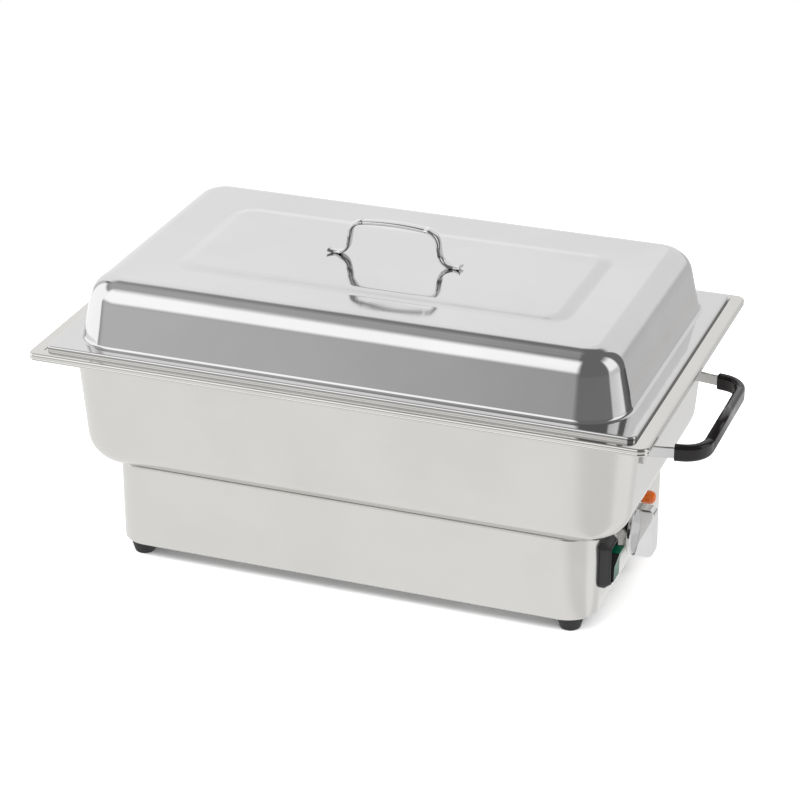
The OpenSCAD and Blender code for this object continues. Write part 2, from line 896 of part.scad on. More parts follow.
// The sensor's thin tube: under the heater, over the shield and down to the thermostat
module capillary_tube() {
    start = bulb_length / 2;
    drop_x = start + capillary_lead;
    low_z = bulb_z - 2 * capillary_bend_r;
    turn_x = drop_x + 2 * capillary_bend_r;
    fall_x = shield_length / 2 + capillary_clear;
    in_x = fall_x + 2 * capillary_bend_r;
    color("peru")
        translate([0, knob_offset, 0]) {
            translate([start, 0, bulb_z])
                tube_x(capillary_lead, capillary_r);
            capillary_bend(drop_x, bulb_z - capillary_bend_r, 0);
            capillary_bend(turn_x, bulb_z - capillary_bend_r, 180);
            translate([turn_x, 0, low_z])
                tube_x(fall_x - turn_x, capillary_r);
            capillary_bend(fall_x, low_z - capillary_bend_r, 0);
            translate([fall_x + capillary_bend_r, 0, capillary_in_z + capillary_bend_r])
                cylinder(low_z - 2 * capillary_bend_r - capillary_in_z, r = capillary_r);
            capillary_bend(in_x, capillary_in_z + capillary_bend_r, 180);
            translate([in_x, 0, capillary_in_z])
                tube_x(wall_in_x - thermostat_plate - thermostat_depth - in_x, capillary_r);
        }
}

// Side outline of the knob's bar grip: x runs out from the skirt, y runs along the bar
module bar_outline() {
    reach = knob_top_x - skirt_x - skirt_thick;
    half = skirt_r - bar_setback;
    translate([-cut, -half])
        square([reach - bar_round + cut, 2 * half]);
    translate([0, -half + bar_round])
        square([reach, 2 * half - 2 * bar_round]);
    for (side = [-1, 1])
        translate([reach - bar_round, side * (half - bar_round)])
            circle(bar_round);
}

// The knob: a flanged skirt with a rim, and a bar across it to turn it by
module control_knob() {
    color(steel)
        translate([skirt_x, knob_offset, knob_z])
            difference() {
                union() {
                    rotate([0, 90, 0])
                        rotate_extrude()
                            difference() {
                                square([skirt_r, skirt_thick]);
                                translate([skirt_r - rim_groove - groove_width, skirt_thick - groove_depth])
                                    square([groove_width, groove_depth + cut]);
                                translate([-cut, -cut])
                                    square([skirt_r - skirt_wall + cut, skirt_hollow + cut]);
                            }
                    translate([skirt_thick, 0, 0])
                        intersection() {
                            translate([0, knob_grip / 2, 0])
                                rotate([90, 0, 0])
                                    linear_extrude(knob_grip)
                                        bar_outline();
                            translate([-cut, 0, 0])
                                tube_x(knob_reach, skirt_r - rim_groove - groove_width - cut);
                        }
                    translate([0.2, 0, 0])
                        tube_x(skirt_thick, hub_r);
                }
                translate([-cut, 0, 0])
                    tube_x(shaft_end_x - skirt_x + 1 + cut, shaft_r + run_slack);
            }
}

// Outline of the switch frame seen from the end
module frame_outline(grow) {
    round_rect(frame_width + 2 * grow, frame_height + 2 * grow, frame_corner + grow);
}

// The switch's frame on the wall, its body through the wall and the pocket for the rocker
module switch_frame() {
    color("#303030")
        translate([end_x, -rocker_offset, switch_z])
            difference() {
                union() {
                    rotate([90, 0, 90])
                        linear_extrude(frame_reach - frame_step)
                            frame_outline(0);
                    rotate([90, 0, 90])
                        linear_extrude(frame_reach)
                            frame_outline(-frame_step);
                    translate([-rocker_box_depth, -rocker_box_width / 2, -rocker_box_height / 2])
                        cube([rocker_box_depth + cut, rocker_box_width, rocker_box_height]);
                    for (side = [-1, 1])
                        translate([-rocker_box_depth - blade_length, -blade_pitch / 4, side * blade_pitch])
                            cube([blade_length + cut, blade_pitch / 2, blade_thick]);
                }
                translate([pocket_floor, -rocker_width / 2 - slack, -pocket_half])
                    cube([frame_reach - pocket_floor + cut, rocker_width + 2 * slack, 2 * pocket_half]);
                for (side = [-1, 1])
                    translate([rocker_axis_x - end_x, side * (rocker_width / 2 + pin_reach / 2), 0])
                        rotate([90, 0, 0])
                            cylinder(pin_reach + cut, r = rocker_pin_r + run_slack, center = true);
            }
}

// The rocker on its pin, its upper half pressed outwards
module switch_rocker() {
    half = rocker_height / 2;
    color("#0b6b4b")
        translate([rocker_axis_x, -rocker_offset, switch_z])
            rotate([0, rocker_tilt, 0]) {
                translate([0, rocker_width / 2, 0])
                    rotate([90, 0, 0])
                        linear_extrude(rocker_width)
                            polygon([[-rocker_back, -half + rocker_back], [rocker_tip, -half],
                                     [rocker_middle, 0], [rocker_tip, half],
                                     [-rocker_back, half - rocker_back]]);
                rotate([90, 0, 0])
                    cylinder(rocker_width + 2 * pin_reach - 2 * slack, r = rocker_pin_r, center = true);
            }
}

// The faceted lens of the lamp, cut from a prism by a domed outline
module lamp_lens() {
    color("#e8641b")
        translate([end_x, lamp_offset, lamp_z])
            rotate([0, 90, 0]) {
                cylinder(lens_flange, r = lens_r);
                intersection() {
                    cylinder(lens_reach, r = lens_r - 0.4, $fn = lens_facets);
                    rotate_extrude()
                        union() {
                            square([lens_r, lens_reach - lens_r * 0.75]);
                            intersection() {
                                translate([0, lens_reach - lens_dome])
                                    circle(lens_dome);
                                square([lens_r, lens_reach]);
                            }
                        }
                }
            }
}

module lamp_body() {
    color(satin)
        translate([end_x, lamp_offset, lamp_z])
            rotate([0, -90, 0]) {
                cylinder(lamp_body_depth, r = lamp_hole_r);
                for (side = [-1, 1])
                    translate([-blade_pitch / 4, side * 2, lamp_body_depth - cut])
                        cube([blade_pitch / 2, blade_thick, blade_length]);
            }
}

module lamp_nut() {
    color(satin)
        translate([wall_in_x, lamp_offset, lamp_z])
            rotate([0, -90, 0])
                nut(lamp_hole_r, nut_height);
}

// The cut-out that lies on the pan's floor, with an ear on either side
module overheat_cutout() {
    color(dark)
        translate([-cutout_x, 0, pan_floor_z - cutout_height]) {
            cylinder(cutout_height, r = cutout_r);
            translate([0, 0, cutout_height - blade_thick])
                linear_extrude(blade_thick)
                    rotate(90)
                        slot(2 * cutout_ear, 2 * cutout_r + 2 * cutout_ear);
            for (side = [-1, 1])
                translate([-blade_pitch / 4, side * cutout_r / 2, -blade_length])
                    cube([blade_pitch / 2, blade_thick, blade_length + cut]);
        }
}

// The cord inlet in the rear wall: a threaded body with a clamping cap, both bored through.
// Its square neck in the wall's square hole keeps it from turning.
module cable_gland() {
    color("#202020")
        translate([gland_x, front_y, gland_z])
            rotate([-90, 0, 0])
                difference() {
                    union() {
                        cylinder(gland_flange, r = gland_flange_r);
                        cylinder(gland_collar, r = gland_hex_r, $fn = 6);
                        translate([-gland_neck / 2, -gland_neck / 2, -housing_sheet])
                            cube([gland_neck, gland_neck, housing_sheet + gland_flange / 2]);
                        translate([0, 0, -housing_sheet - gland_inside])
                            cylinder(housing_sheet + gland_inside + cut, r = gland_r);
                        translate([0, 0, gland_collar - cut])
                            cylinder(gland_reach - gland_collar, r1 = gland_cap_r, r2 = gland_tip_r);
                    }
                    translate([0, 0, -housing_sheet - gland_inside - cut])
                        cylinder(gland_reach + gland_inside + housing_sheet + 2 * cut, r = gland_bore_r);
                }
}

module gland_nut() {
    color("#202020")
        translate([gland_x, front_y - housing_sheet, gland_z])
            rotate([90, 0, 0])
                nut(gland_r, nut_height);
}

module terminal_block() {
    color("ivory")
        translate([block_x, block_y, plate_z + plate_thick])
            difference() {
                translate([-block_length / 2, -block_width / 2, 0])
                    cube([block_length, block_width, block_height]);
                for (pole = [-1 : 1]) {
                    translate([pole * pole_pitch, 0, block_height - pole_depth])
                        cylinder(pole_depth + cut, r = pole_r);
                    translate([pole * pole_pitch, 0, pole_wire_z])
                        rotate([90, 0, 0])
                            cylinder(block_width + 2 * cut, r = pole_wire_r, center = true);
                }
            }
}

module terminal_screws() {
    color("goldenrod")
        translate([block_x, block_y, plate_z + plate_thick + block_height - pole_depth])
            for (pole = [-1 : 1])
                translate([pole * pole_pitch, 0, 0])
                    cylinder(pole_screw, r = pole_r - slack);
}

// The stud that earths the housing, with its nut on the plate
module earth_stud() {
    color("goldenrod")
        translate([earth_x, earth_y, plate_z]) {
            screw_up(earth_r, earth_length, earth_head_r, earth_head);
            translate([0, 0, plate_thick])
                cylinder(foot_nut_height, r = earth_r * nut_factor, $fn = 6);
        }
}

// Half of an end handle, given the section of its bar and bend and then that of its arm.
// A section's x runs outwards from the loop and its y runs upwards.
module handle_half(arm) {
    translate([handle_reach, bend_y, 0])
        rotate([90, 0, 0])
            linear_extrude(bend_y)
                children(0);
    translate([bend_x, bend_y, 0])
        rotate_extrude(angle = bend_turn)
            translate([handle_bend, 0])
                children(0);
    translate([bend_end_x, bend_end_y, 0])
        rotate([0, 0, 90 + bend_turn])
            translate([-lap, 0, 0])
                rotate([90, 0, 90])
                    linear_extrude(arm + lap)
                        mirror([1, 0])
                            children(1);
}

module strip_section(grow) {
    square([strip_thick + 2 * grow, strip_height + 2 * grow], center = true);
}

module grip_section(grow) {
    difference() {
        slot(sleeve_thick + 2 * grow, sleeve_height + 2 * grow);
        strip_section(thread_slack);
    }
}

module handle_strip() {
    color(steel)
        for (side = [0, 1])
            mirror([0, side, 0])
                translate([0, 0, handle_z]) {
                    handle_half(arm_length) {
                        strip_section(0);
                        strip_section(0);
                    }
                    translate([wall_x, arm_end_y, 0])
                        rotate([0, well_draft, 0])
                            translate([0, -strip_thick / 2, -strip_height / 2])
                                cube([strip_thick, tab_length, strip_height]);
                }
}

// The moulded grip, with a slightly thicker collar at each end
module handle_grip() {
    color("#1c1c1c")
        for (side = [0, 1])
            mirror([0, side, 0])
                translate([0, 0, handle_z])
                    handle_half(sleeve_arm) {
                        grip_section(0);
                        grip_section(sleeve_collar);
                    }
}

// The insert pan: its rim lies on the water pan's rim, inside the lid's lip
module food_pan() {
    color(steel)
        translate([0, 0, rim_z + insert_sheet])
            difference() {
                union() {
                    translate([0, 0, -insert_sheet])
                        linear_extrude(insert_sheet)
                            round_rect(insert_rim_length, insert_rim_depth, insert_rim_corner);
                    well_walls(insert_well_length, insert_well_depth, insert_corner, insert_height,
                               insert_draft, insert_floor_round, well_mouth_round, insert_sheet);
                }
                well_cut(insert_well_length, insert_well_depth, insert_corner, insert_height,
                         insert_draft, insert_floor_round, well_mouth_round, insert_sheet);
            }
}

module lid_shell() {
    color(steel)
        difference() {
            union() {
                translate([0, 0, lid_flange_z])
                    lipped_flange(lid_length, lid_depth, lid_corner, lid_lip, lid_edge_round, lid_sheet);
                translate([0, 0, lid_flange_z - lid_sheet])
                    mirror([0, 0, 1])
                        well_walls(dome_length, dome_depth, dome_corner, dome_height + lid_sheet,
                                   dome_draft, dome_round, dome_foot_round, lid_sheet);
                translate([0, 0, dome_z])
                    raised_panel(panel_length, panel_depth, panel_corner, panel_rise, panel_slope);
            }
            translate([0, 0, lid_flange_z - lid_sheet])
                mirror([0, 0, 1])
                    well_cut(dome_length, dome_depth, dome_corner, dome_height + lid_sheet,
                             dome_draft, dome_round, dome_foot_round, lid_sheet);
            translate([0, 0, dome_z - lid_sheet])
                raised_panel(panel_length, panel_depth, panel_corner, panel_rise, panel_slope);
        }
}

// A bent piece of the strap: a ring of its thickness between two angles
module strap_bend(bend, start, turn) {
    reach = 2 * (bend + grip_thick);
    intersection() {
        difference() {
            circle(bend + grip_thick / 2);
            circle(bend - grip_thick / 2);
        }
        rotate(start)
            polygon([[0, 0], [reach, 0], reach * [1, tan(turn / 2)], reach * [cos(turn), sin(turn)]]);
    }
}

// The strap's arched bar, which runs a little into both corners
module strap_bar() {
    translate([0, grip_mid_top - bar_bend])
        strap_bend(bar_bend, 90 - bar_slope - bar_lap, 2 * (bar_slope + bar_lap));
}

// One side of the strap below the bar: the corner, the leg and the bend above the foot
module strap_side() {
    translate([leg_high_x - grip_high_bend * sin(grip_lean), leg_high_z - grip_high_bend * cos(grip_lean)])
        strap_bend(grip_high_bend, 90 - grip_lean, grip_lean - bar_slope);
    translate([leg_low_x, leg_low_z])
        rotate(180 - grip_lean)
            translate([-lap, -grip_thick / 2])
                square([leg_run + 2 * lap, grip_thick]);
    translate([grip_foot_in, grip_mid_low + grip_low_bend])
        strap_bend(grip_low_bend, 270 - grip_lean, grip_lean);
}

// A foot of the strap seen from above: a waist that widens to a forked tail
module foot_outline() {
    polygon([
        [grip_foot_in - lap, -grip_width / 2],
        [foot_waist_x, -foot_waist / 2],
        [grip_tip, -fishtail / 2],
        [grip_tip - fishtail_notch, 0],
        [grip_tip, fishtail / 2],
        [foot_waist_x, foot_waist / 2],
        [grip_foot_in - lap, grip_width / 2]
    ]);
}

// The strap on the lid, an arched bar on two legs with forked feet
module lid_handle() {
    color(steel)
        translate([0, 0, dome_z + panel_rise]) {
            translate([0, grip_width / 2, 0])
                rotate([90, 0, 0])
                    linear_extrude(grip_width) {
                        strap_bar();
                        for (side = [0, 1])
                            mirror([side, 0])
                                strap_side();
                    }
            for (side = [0, 1])
                mirror([side, 0, 0])
                    linear_extrude(grip_thick)
                        foot_outline();
        }
}

base_housing();
bottom_plate();
plate_screws();
foot_at(-1, -1);  // foot_front_left
foot_at(1, -1);  // foot_front_right
foot_at(-1, 1);  // foot_rear_left
foot_at(1, 1);  // foot_rear_right
foot_screws();
foot_nuts();
water_pan();
housing_studs();
housing_nuts();
heater_studs();
heating_element();
clamp_bars();
clamp_nuts();
shield_spacers();
heat_shield();
shield_nuts();
thermostat_body();
thermostat_screws();
thermostat_shaft();
sensor_bulb();
capillary_tube();
control_knob();
switch_frame();
switch_rocker();
lamp_lens();
lamp_body();
lamp_nut();
overheat_cutout();
cable_gland();
gland_nut();
terminal_block();
terminal_screws();
earth_stud();
handle_strip();  // right_handle_strip
handle_grip();  // right_handle_grip
mirror([1, 0, 0]) handle_strip();  // left_handle_strip
mirror([1, 0, 0]) handle_grip();  // left_handle_grip
food_pan();
lid_shell();
lid_handle();
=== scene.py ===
# %% [markdown]
# # An electric chafing dish
# A chafing dish keeps food warm on a buffet. A pan of hot water sits in a heated steel box, a
# second pan with the food hangs in the water, and a domed lid closes it. Nearly everything in
# the picture is thin stainless sheet, pressed or folded, so most of this lesson is about sheets
# with round corners and about how bright metal shows the room around it.

import json
import math

import bmesh
import bpy
from mathutils import Matrix, Vector


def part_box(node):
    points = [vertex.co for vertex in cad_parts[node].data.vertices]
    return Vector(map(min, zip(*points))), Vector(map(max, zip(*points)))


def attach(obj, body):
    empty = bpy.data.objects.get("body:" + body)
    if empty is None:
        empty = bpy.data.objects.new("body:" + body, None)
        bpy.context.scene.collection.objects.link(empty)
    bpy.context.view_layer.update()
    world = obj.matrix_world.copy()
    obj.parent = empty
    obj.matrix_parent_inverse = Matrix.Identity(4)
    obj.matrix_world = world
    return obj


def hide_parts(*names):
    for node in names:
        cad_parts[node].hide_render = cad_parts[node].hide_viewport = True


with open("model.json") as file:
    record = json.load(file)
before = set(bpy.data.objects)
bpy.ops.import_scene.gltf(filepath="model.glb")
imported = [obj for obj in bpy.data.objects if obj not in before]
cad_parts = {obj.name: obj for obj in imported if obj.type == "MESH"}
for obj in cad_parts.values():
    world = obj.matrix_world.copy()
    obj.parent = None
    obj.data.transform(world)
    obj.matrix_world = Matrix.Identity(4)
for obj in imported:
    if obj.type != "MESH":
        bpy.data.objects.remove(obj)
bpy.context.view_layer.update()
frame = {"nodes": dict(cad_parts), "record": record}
print("CAD nodes:", len(frame["nodes"]))

# %% [markdown]
# ## Units
# Blender works in metres, and sheet metal is thought of in millimetres, so every size below is
# written as a number of millimetres. The outer size of a piece is read from the CAD node that it
# stands for, and only bend radii, slopes and sheet thicknesses are typed, next to their piece.

# %% Millimetres and a quarter turn
MM = 0.001
QUARTER = math.pi / 2

# %% [markdown]
# ## Helpers for sheets with round corners
# A press turns a flat blank into a pan by pushing it through rings that share the same corner
# centres. The mesh is made the same way: one loop with round corners is extruded again and
# again, and each new loop is moved to the next height and grown or shrunk about the four corner
# centres. Two helpers give the heights and offsets along the round parts of the section.

# %% Points along an arc of a section
def arc(centre, radius, start, turn, steps):
    """Points (out, up) along an arc; the angles are in radians from straight outwards."""
    points = []
    for step in range(steps + 1):
        angle = start + turn * step / steps
        points.append((centre[0] + radius * math.cos(angle), centre[1] + radius * math.sin(angle)))
    return points


def rings_on(plan, section):
    """Rounded rectangles (half_x, half_y, corner, height) for the points of a section."""
    half_x, half_y, corner = plan
    return [(half_x + out, half_y + out, corner + out, up) for out, up in section]


# %% Drawing a sheet through a row of rounded rectangles
CORNER_STEPS = 16


def corner_move(point, before, after):
    """Where a point of one rounded rectangle lies on the next one."""
    side = Vector((math.copysign(1, point.x), math.copysign(1, point.y)))
    old_x, old_y, old_corner = before[:3]
    new_x, new_y, new_corner, height = after
    old_centre = Vector((side.x * (old_x - old_corner), side.y * (old_y - old_corner)))
    new_centre = Vector((side.x * (new_x - new_corner), side.y * (new_y - new_corner)))
    away = (point.xy - old_centre).normalized() * new_corner
    return Vector((new_centre.x + away.x, new_centre.y + away.y, height))


def first_loop(bm, ring):
    """The loop that a sheet starts from: a square with its four corners rounded."""
    half_x, half_y, corner, height = ring
    square = bmesh.ops.create_grid(bm, x_segments=1, y_segments=1, size=1)["verts"]
    bmesh.ops.scale(bm, vec=(half_x, half_y, 1), verts=square)
    bmesh.ops.translate(bm, vec=(0, 0, height), verts=square)
    bmesh.ops.bevel(bm, geom=square, offset=corner, offset_type="OFFSET", segments=CORNER_STEPS,
                    profile=0.5, affect="VERTICES", material=-1)
    face = max(bm.faces, key=lambda f: f.calc_area())
    loop = list(face.edges)
    bmesh.ops.delete(bm, geom=[face], context="FACES_ONLY")
    for vert in {v for edge in loop for v in edge.verts}:
        vert.co = corner_move(vert.co, ring, ring)
    return loop


def draw_sheet(bm, rings, closed=True):
    """Extrudes the first ring through the others and closes the last one with a flat face."""
    loop = first_loop(bm, rings[0])
    for before, after in zip(rings, rings[1:]):
        made = bmesh.ops.extrude_edge_only(bm, edges=loop)["geom"]
        verts = {g for g in made if isinstance(g, bmesh.types.BMVert)}
        loop = [g for g in made if isinstance(g, bmesh.types.BMEdge) and set(g.verts) <= verts]
        for vert in verts:
            vert.co = corner_move(vert.co, before, after)
    if closed:
        bmesh.ops.edgeloop_fill(bm, edges=loop)


# %% [markdown]
# ## Finishing a piece
# Every piece ends the same way: its faces are turned outwards, it becomes an object at the
# origin, and modifiers give the sheet its thickness and take the razor edge off it. Weighted
# normals keep the large flat faces looking flat next to the narrow faces of a bend, which
# matters more on polished metal than on anything else. The piece then rides on its CAD body and
# stands for its CAD node, and it is noted with its slot, so that it can be dressed at the end.

# %% Turning a bmesh into a finished piece
TOUCH = 1e-6
LEVEL = 0.99
SHEET_EDGE = 0.2 * MM
SHARP_ANGLE = math.radians(40)
FLAT_FACE_WEIGHT = 100
new_pieces = []


def look_up(bm):
    """Turns a sheet's faces so that its highest level face looks up."""
    bmesh.ops.recalc_face_normals(bm, faces=bm.faces)
    level = [f for f in bm.faces if abs(f.normal.z) > LEVEL]
    highest = max(level, key=lambda f: (round(f.calc_center_median().z, 5), f.calc_area()))
    if highest.normal.z < 0:
        bmesh.ops.reverse_faces(bm, faces=bm.faces)


def new_object(bm, name, smooth):
    """Turns a bmesh into an object at the origin."""
    mesh = bpy.data.meshes.new(name)
    bm.to_mesh(mesh)
    bm.free()
    if smooth:
        mesh.shade_smooth()
    made = bpy.data.objects.new(name, mesh)
    bpy.context.scene.collection.objects.link(made)
    return made


def finish_piece(bm, name, body, slot, node, sheet=0, edge=0, edge_steps=2, smooth=True):
    """Makes the object, gives a sheet its thickness and softens the edges."""
    if sheet:
        look_up(bm)
    else:
        bmesh.ops.remove_doubles(bm, verts=bm.verts, dist=TOUCH)
        bmesh.ops.recalc_face_normals(bm, faces=bm.faces)
    piece = new_object(bm, name, smooth)
    if sheet:
        thick = piece.modifiers.new("sheet", "SOLIDIFY")
        thick.thickness = sheet
        thick.offset = -1
        thick.use_even_offset = True
    if edge:
        soft = piece.modifiers.new("soft edge", "BEVEL")
        soft.width = edge
        soft.segments = edge_steps
        soft.limit_method = "ANGLE"
        soft.angle_limit = SHARP_ANGLE
    if smooth:
        piece.modifiers.new("flat faces", "WEIGHTED_NORMAL").weight = FLAT_FACE_WEIGHT
    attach(piece, body)
    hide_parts(node)
    new_pieces.append((piece, slot))
    print(f"{name}: {len(piece.data.polygons)} faces")


# %% [markdown]
# ## Base housing
# The housing is one strip of sheet folded round four corners, with a flange turned in at the top,
# on which the pan is bolted, and a wider one at the bottom for the base plate and the feet. The
# loop starts on the inner edge of the lower flange and ends on the inner edge of the upper one.

# %% Named sizes of the base housing
housing_low, housing_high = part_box("base_housing")
housing_corner = 30 * MM
housing_sheet = 1 * MM
housing_bend = 2 * MM
top_flange = 26 * MM
low_flange = 38 * MM
flange_corner = 8 * MM
print("housing height in mm:", round((housing_high.z - housing_low.z) / MM, 1))


# %% The base housing
def build_housing():
    half_x = housing_high.x
    half_y = housing_high.y
    low, high = housing_low.z, housing_high.z
    section = arc((-housing_bend, low + housing_bend), housing_bend, -QUARTER, QUARTER, steps=5)
    section += arc((-housing_bend, high - housing_bend), housing_bend, 0, QUARTER, steps=5)
    rings = [(half_x - low_flange, half_y - low_flange, flange_corner, low)]
    rings += rings_on((half_x, half_y, housing_corner), section)
    rings += [(half_x - top_flange, half_y - top_flange, flange_corner, high)]
    bm = bmesh.new()
    draw_sheet(bm, rings, closed=False)
    finish_piece(bm, "housing_shell", "root", "satin_steel", "base_housing",
                 sheet=housing_sheet, edge=SHEET_EDGE)


build_housing()

# %% [markdown]
# ## Water pan
# The water pan is deep-drawn: a wide level rim with a lip turned down, and a well whose walls
# slope in so that the press can let go of it. The lip ends in a small rolled hem, which stiffens
# it and keeps hands off the cut edge. The section follows the side that one sees, from the hem
# over the rim and down the inside, and the sheet's thickness is added underneath.

# %% Section of a well, from its mouth to its floor
def well_section(height, draft, floor_round, mouth, sheet, rim_z):
    """The inner side of a drawn well, as (out, up) points from the rim's face to the floor."""
    lean = math.sin(draft) / math.cos(draft)
    mouth_r = mouth + sheet
    mouth_out = -sheet + mouth_r * (1 - math.sin(draft)) / math.cos(draft)
    top = arc((mouth_out, rim_z - mouth_r), mouth_r, QUARTER, QUARTER - draft, steps=6)
    round_r = floor_round - sheet
    depth = height - sheet
    floor_out = -sheet - round_r / math.cos(draft) - (depth - round_r) * lean
    floor_centre = (floor_out, rim_z - depth + round_r)
    bottom = arc(floor_centre, round_r, -draft, -(QUARTER - draft), steps=12)
    return top + bottom


# %% Named sizes of the water pan
pan_low, pan_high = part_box("water_pan")
rim_corner = 9 * MM
rim_lip = 7.2 * MM
rim_round = 2.3 * MM
rim_hem = 1.5 * MM
hem_turn = 0.8 * math.pi
hem_rise = 0.6 * rim_hem
pan_sheet = 1 * MM
well_length = 549 * MM
well_depth = 322 * MM
well_corner = 53 * MM
well_floor_round = 30 * MM
well_draft = math.radians(4.6)
mouth_round = 2 * MM
print("rim height in mm:", round(pan_high.z / MM, 1))


# %% The water pan
def build_water_pan():
    rim_z = pan_high.z
    hem_z = rim_z - rim_lip + rim_hem
    lip = arc((-rim_hem, hem_z), rim_hem, -QUARTER, hem_turn, steps=9)
    lip += [(0, lip[-1][1] + hem_rise)]
    lip += arc((-rim_round, rim_z - rim_round), rim_round, 0, QUARTER, steps=6)
    rings = rings_on((pan_high.x, pan_high.y, rim_corner), lip)
    well = well_section(rim_z - pan_low.z, well_draft, well_floor_round, mouth_round,
                        pan_sheet, rim_z)
    rings += rings_on((well_length / 2, well_depth / 2, well_corner), well)
    bm = bmesh.new()
    draw_sheet(bm, rings)
    finish_piece(bm, "water_pan_shell", "root", "satin_steel", "water_pan",
                 sheet=pan_sheet, edge=SHEET_EDGE)


build_water_pan()

# %% [markdown]
# ## Insert pan
# The insert pan is the one that holds the food. It is shallower, its rim is flat, and it hangs
# in the water pan by that rim. With the lid closed only the edge of the rim shows. It is drawn
# with the same helper as the water pan, from its own sizes.

# %% Named sizes of the insert pan
insert_low, insert_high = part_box("food_pan")
insert_sheet = 0.8 * MM
insert_well_length = 522 * MM
insert_well_depth = 297 * MM
insert_corner = 42 * MM
insert_floor_round = 14 * MM
insert_draft = math.radians(3)
insert_rim_corner = 10 * MM
print("insert depth in mm:", round((insert_high.z - insert_low.z) / MM, 1))


# %% The insert pan
def build_insert_pan():
    rim_z = insert_high.z
    rings = rings_on((insert_high.x, insert_high.y, insert_rim_corner), [(0, rim_z)])
    well = well_section(rim_z - insert_low.z, insert_draft, insert_floor_round, mouth_round,
                        insert_sheet, rim_z)
    rings += rings_on((insert_well_length / 2, insert_well_depth / 2, insert_corner), well)
    bm = bmesh.new()
    draw_sheet(bm, rings)
    finish_piece(bm, "insert_pan_shell", "insert", "satin_steel", "food_pan",
                 sheet=insert_sheet, edge=SHEET_EDGE)


build_insert_pan()

# %% [markdown]
# ## Lid
# The lid is a shallow drawn dome with a level flange and a short lip. The border of its top falls
# by less than two millimetres from the crown to the foot of a large raised panel, and the panel
# rises again by about as much. Both stiffen the sheet. They are easy to miss until something is
# mirrored in them: the handle shows once in the panel and once more in the dished border. So they
# are made in the mesh, and the panel's slope is a soft S that bends a mirror image smoothly.

# %% Named sizes of the lid
lid_low, lid_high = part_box("lid_shell")
lid_sheet = 0.8 * MM
lid_corner = 7 * MM
lid_lip = 4.4 * MM
lid_edge_round = 1.9 * MM
lid_flange = 16.5 * MM
lid_side_flange = 11.5 * MM
dome_corner = 44 * MM
dome_round = 25.5 * MM
dome_draft = math.radians(12)
dome_foot_round = 4 * MM
border_dish = 1.7 * MM
panel_length = 388 * MM
panel_depth = 172 * MM
panel_corner = 26 * MM
panel_rise = 2.2 * MM
panel_slope = 17 * MM
panel_steps = 8
print("lid height in mm:", round((lid_high.z - lid_low.z) / MM, 1))


# %% Sections of the dome and the panel
def dome_section(flange_z, top_z):
    """The outer side of the dome from the flange's face to its top."""
    lean = math.tan(dome_draft)
    foot_out = dome_foot_round * (1 - math.sin(dome_draft)) / math.cos(dome_draft)
    foot_out -= lid_sheet * lean
    foot = arc((foot_out, flange_z + dome_foot_round), dome_foot_round,
               -QUARTER, -(QUARTER - dome_draft), steps=6)
    height = top_z - (flange_z - lid_sheet)
    round_out = -dome_round / math.cos(dome_draft) - (height - dome_round) * lean
    crown = arc((round_out, top_z - dome_round), dome_round,
                dome_draft, QUARTER - dome_draft, steps=20)
    return foot + crown


def panel_section(foot_z):
    """The soft S from the foot of the panel up to its face."""
    slope = []
    for step in range(panel_steps + 1):
        part = step / panel_steps
        rise = panel_rise * (1 - math.cos(math.pi * part)) / 2
        slope.append((-panel_slope * part, foot_z + rise))
    return slope


# %% The lid
def build_lid():
    flange_z = lid_low.z + lid_lip
    foot_z = lid_high.z - panel_rise
    lip = [(0, lid_low.z)]
    lip += arc((-lid_edge_round, flange_z - lid_edge_round), lid_edge_round, 0, QUARTER, steps=4)
    rings = rings_on((lid_high.x, lid_high.y, lid_corner), lip)
    dome_plan = (lid_high.x - lid_flange, lid_high.y - lid_side_flange, dome_corner)
    rings += rings_on(dome_plan, dome_section(flange_z, foot_z + border_dish))
    rings += rings_on((panel_length / 2, panel_depth / 2, panel_corner), panel_section(foot_z))
    bm = bmesh.new()
    draw_sheet(bm, rings)
    finish_piece(bm, "lid_dome", "lid", "polished_steel", "lid_shell",
                 sheet=lid_sheet, edge=SHEET_EDGE)


build_lid()

# %% [markdown]
# ## Walking a section along a path
# Straps and bars keep one section along their whole length. A face with that section is pushed
# forward for a straight stretch and spun about the centre of each bend, just as a bar is bent
# round a pin. Only one half is walked, and the other half is its mirror image.

# %% Helpers that push, turn and mirror a section
FACE_ALONG_X = Matrix(((0, 0, 1), (1, 0, 0), (0, 1, 0)))
FACE_ALONG_Y = Matrix(((1, 0, 0), (0, 0, -1), (0, 1, 0)))


def placed(turn, place):
    """The matrix that turns a shape about the origin and then moves it to its place."""
    matrix = turn.to_4x4()
    matrix.translation = place
    return matrix


def flat_section(bm, width, height, corner, steps, place):
    """A filled rounded rectangle that looks along Y, width along X and height along Z."""
    verts = bmesh.ops.create_grid(bm, x_segments=1, y_segments=1, size=0.5)["verts"]
    bmesh.ops.scale(bm, vec=(width, height, 1), verts=verts)
    made = bmesh.ops.bevel(bm, geom=verts, offset=corner, offset_type="OFFSET", segments=steps,
                           profile=0.5, affect="VERTICES", material=-1)
    face = max(bm.faces, key=lambda f: f.calc_area())
    verts = list({*made["verts"], *face.verts})
    bmesh.ops.transform(bm, matrix=placed(FACE_ALONG_Y, place), verts=verts)
    return [face]


def push(bm, faces, move):
    """Extrudes the end faces along a straight line and returns the new end."""
    made = bmesh.ops.extrude_face_region(bm, geom=faces)["geom"]
    end = [g for g in made if isinstance(g, bmesh.types.BMFace)]
    verts = list({v for face in end for v in face.verts})
    bmesh.ops.translate(bm, vec=move, verts=verts)
    bmesh.ops.delete(bm, geom=[f for f in faces if f.is_valid], context="FACES_ONLY")
    return end


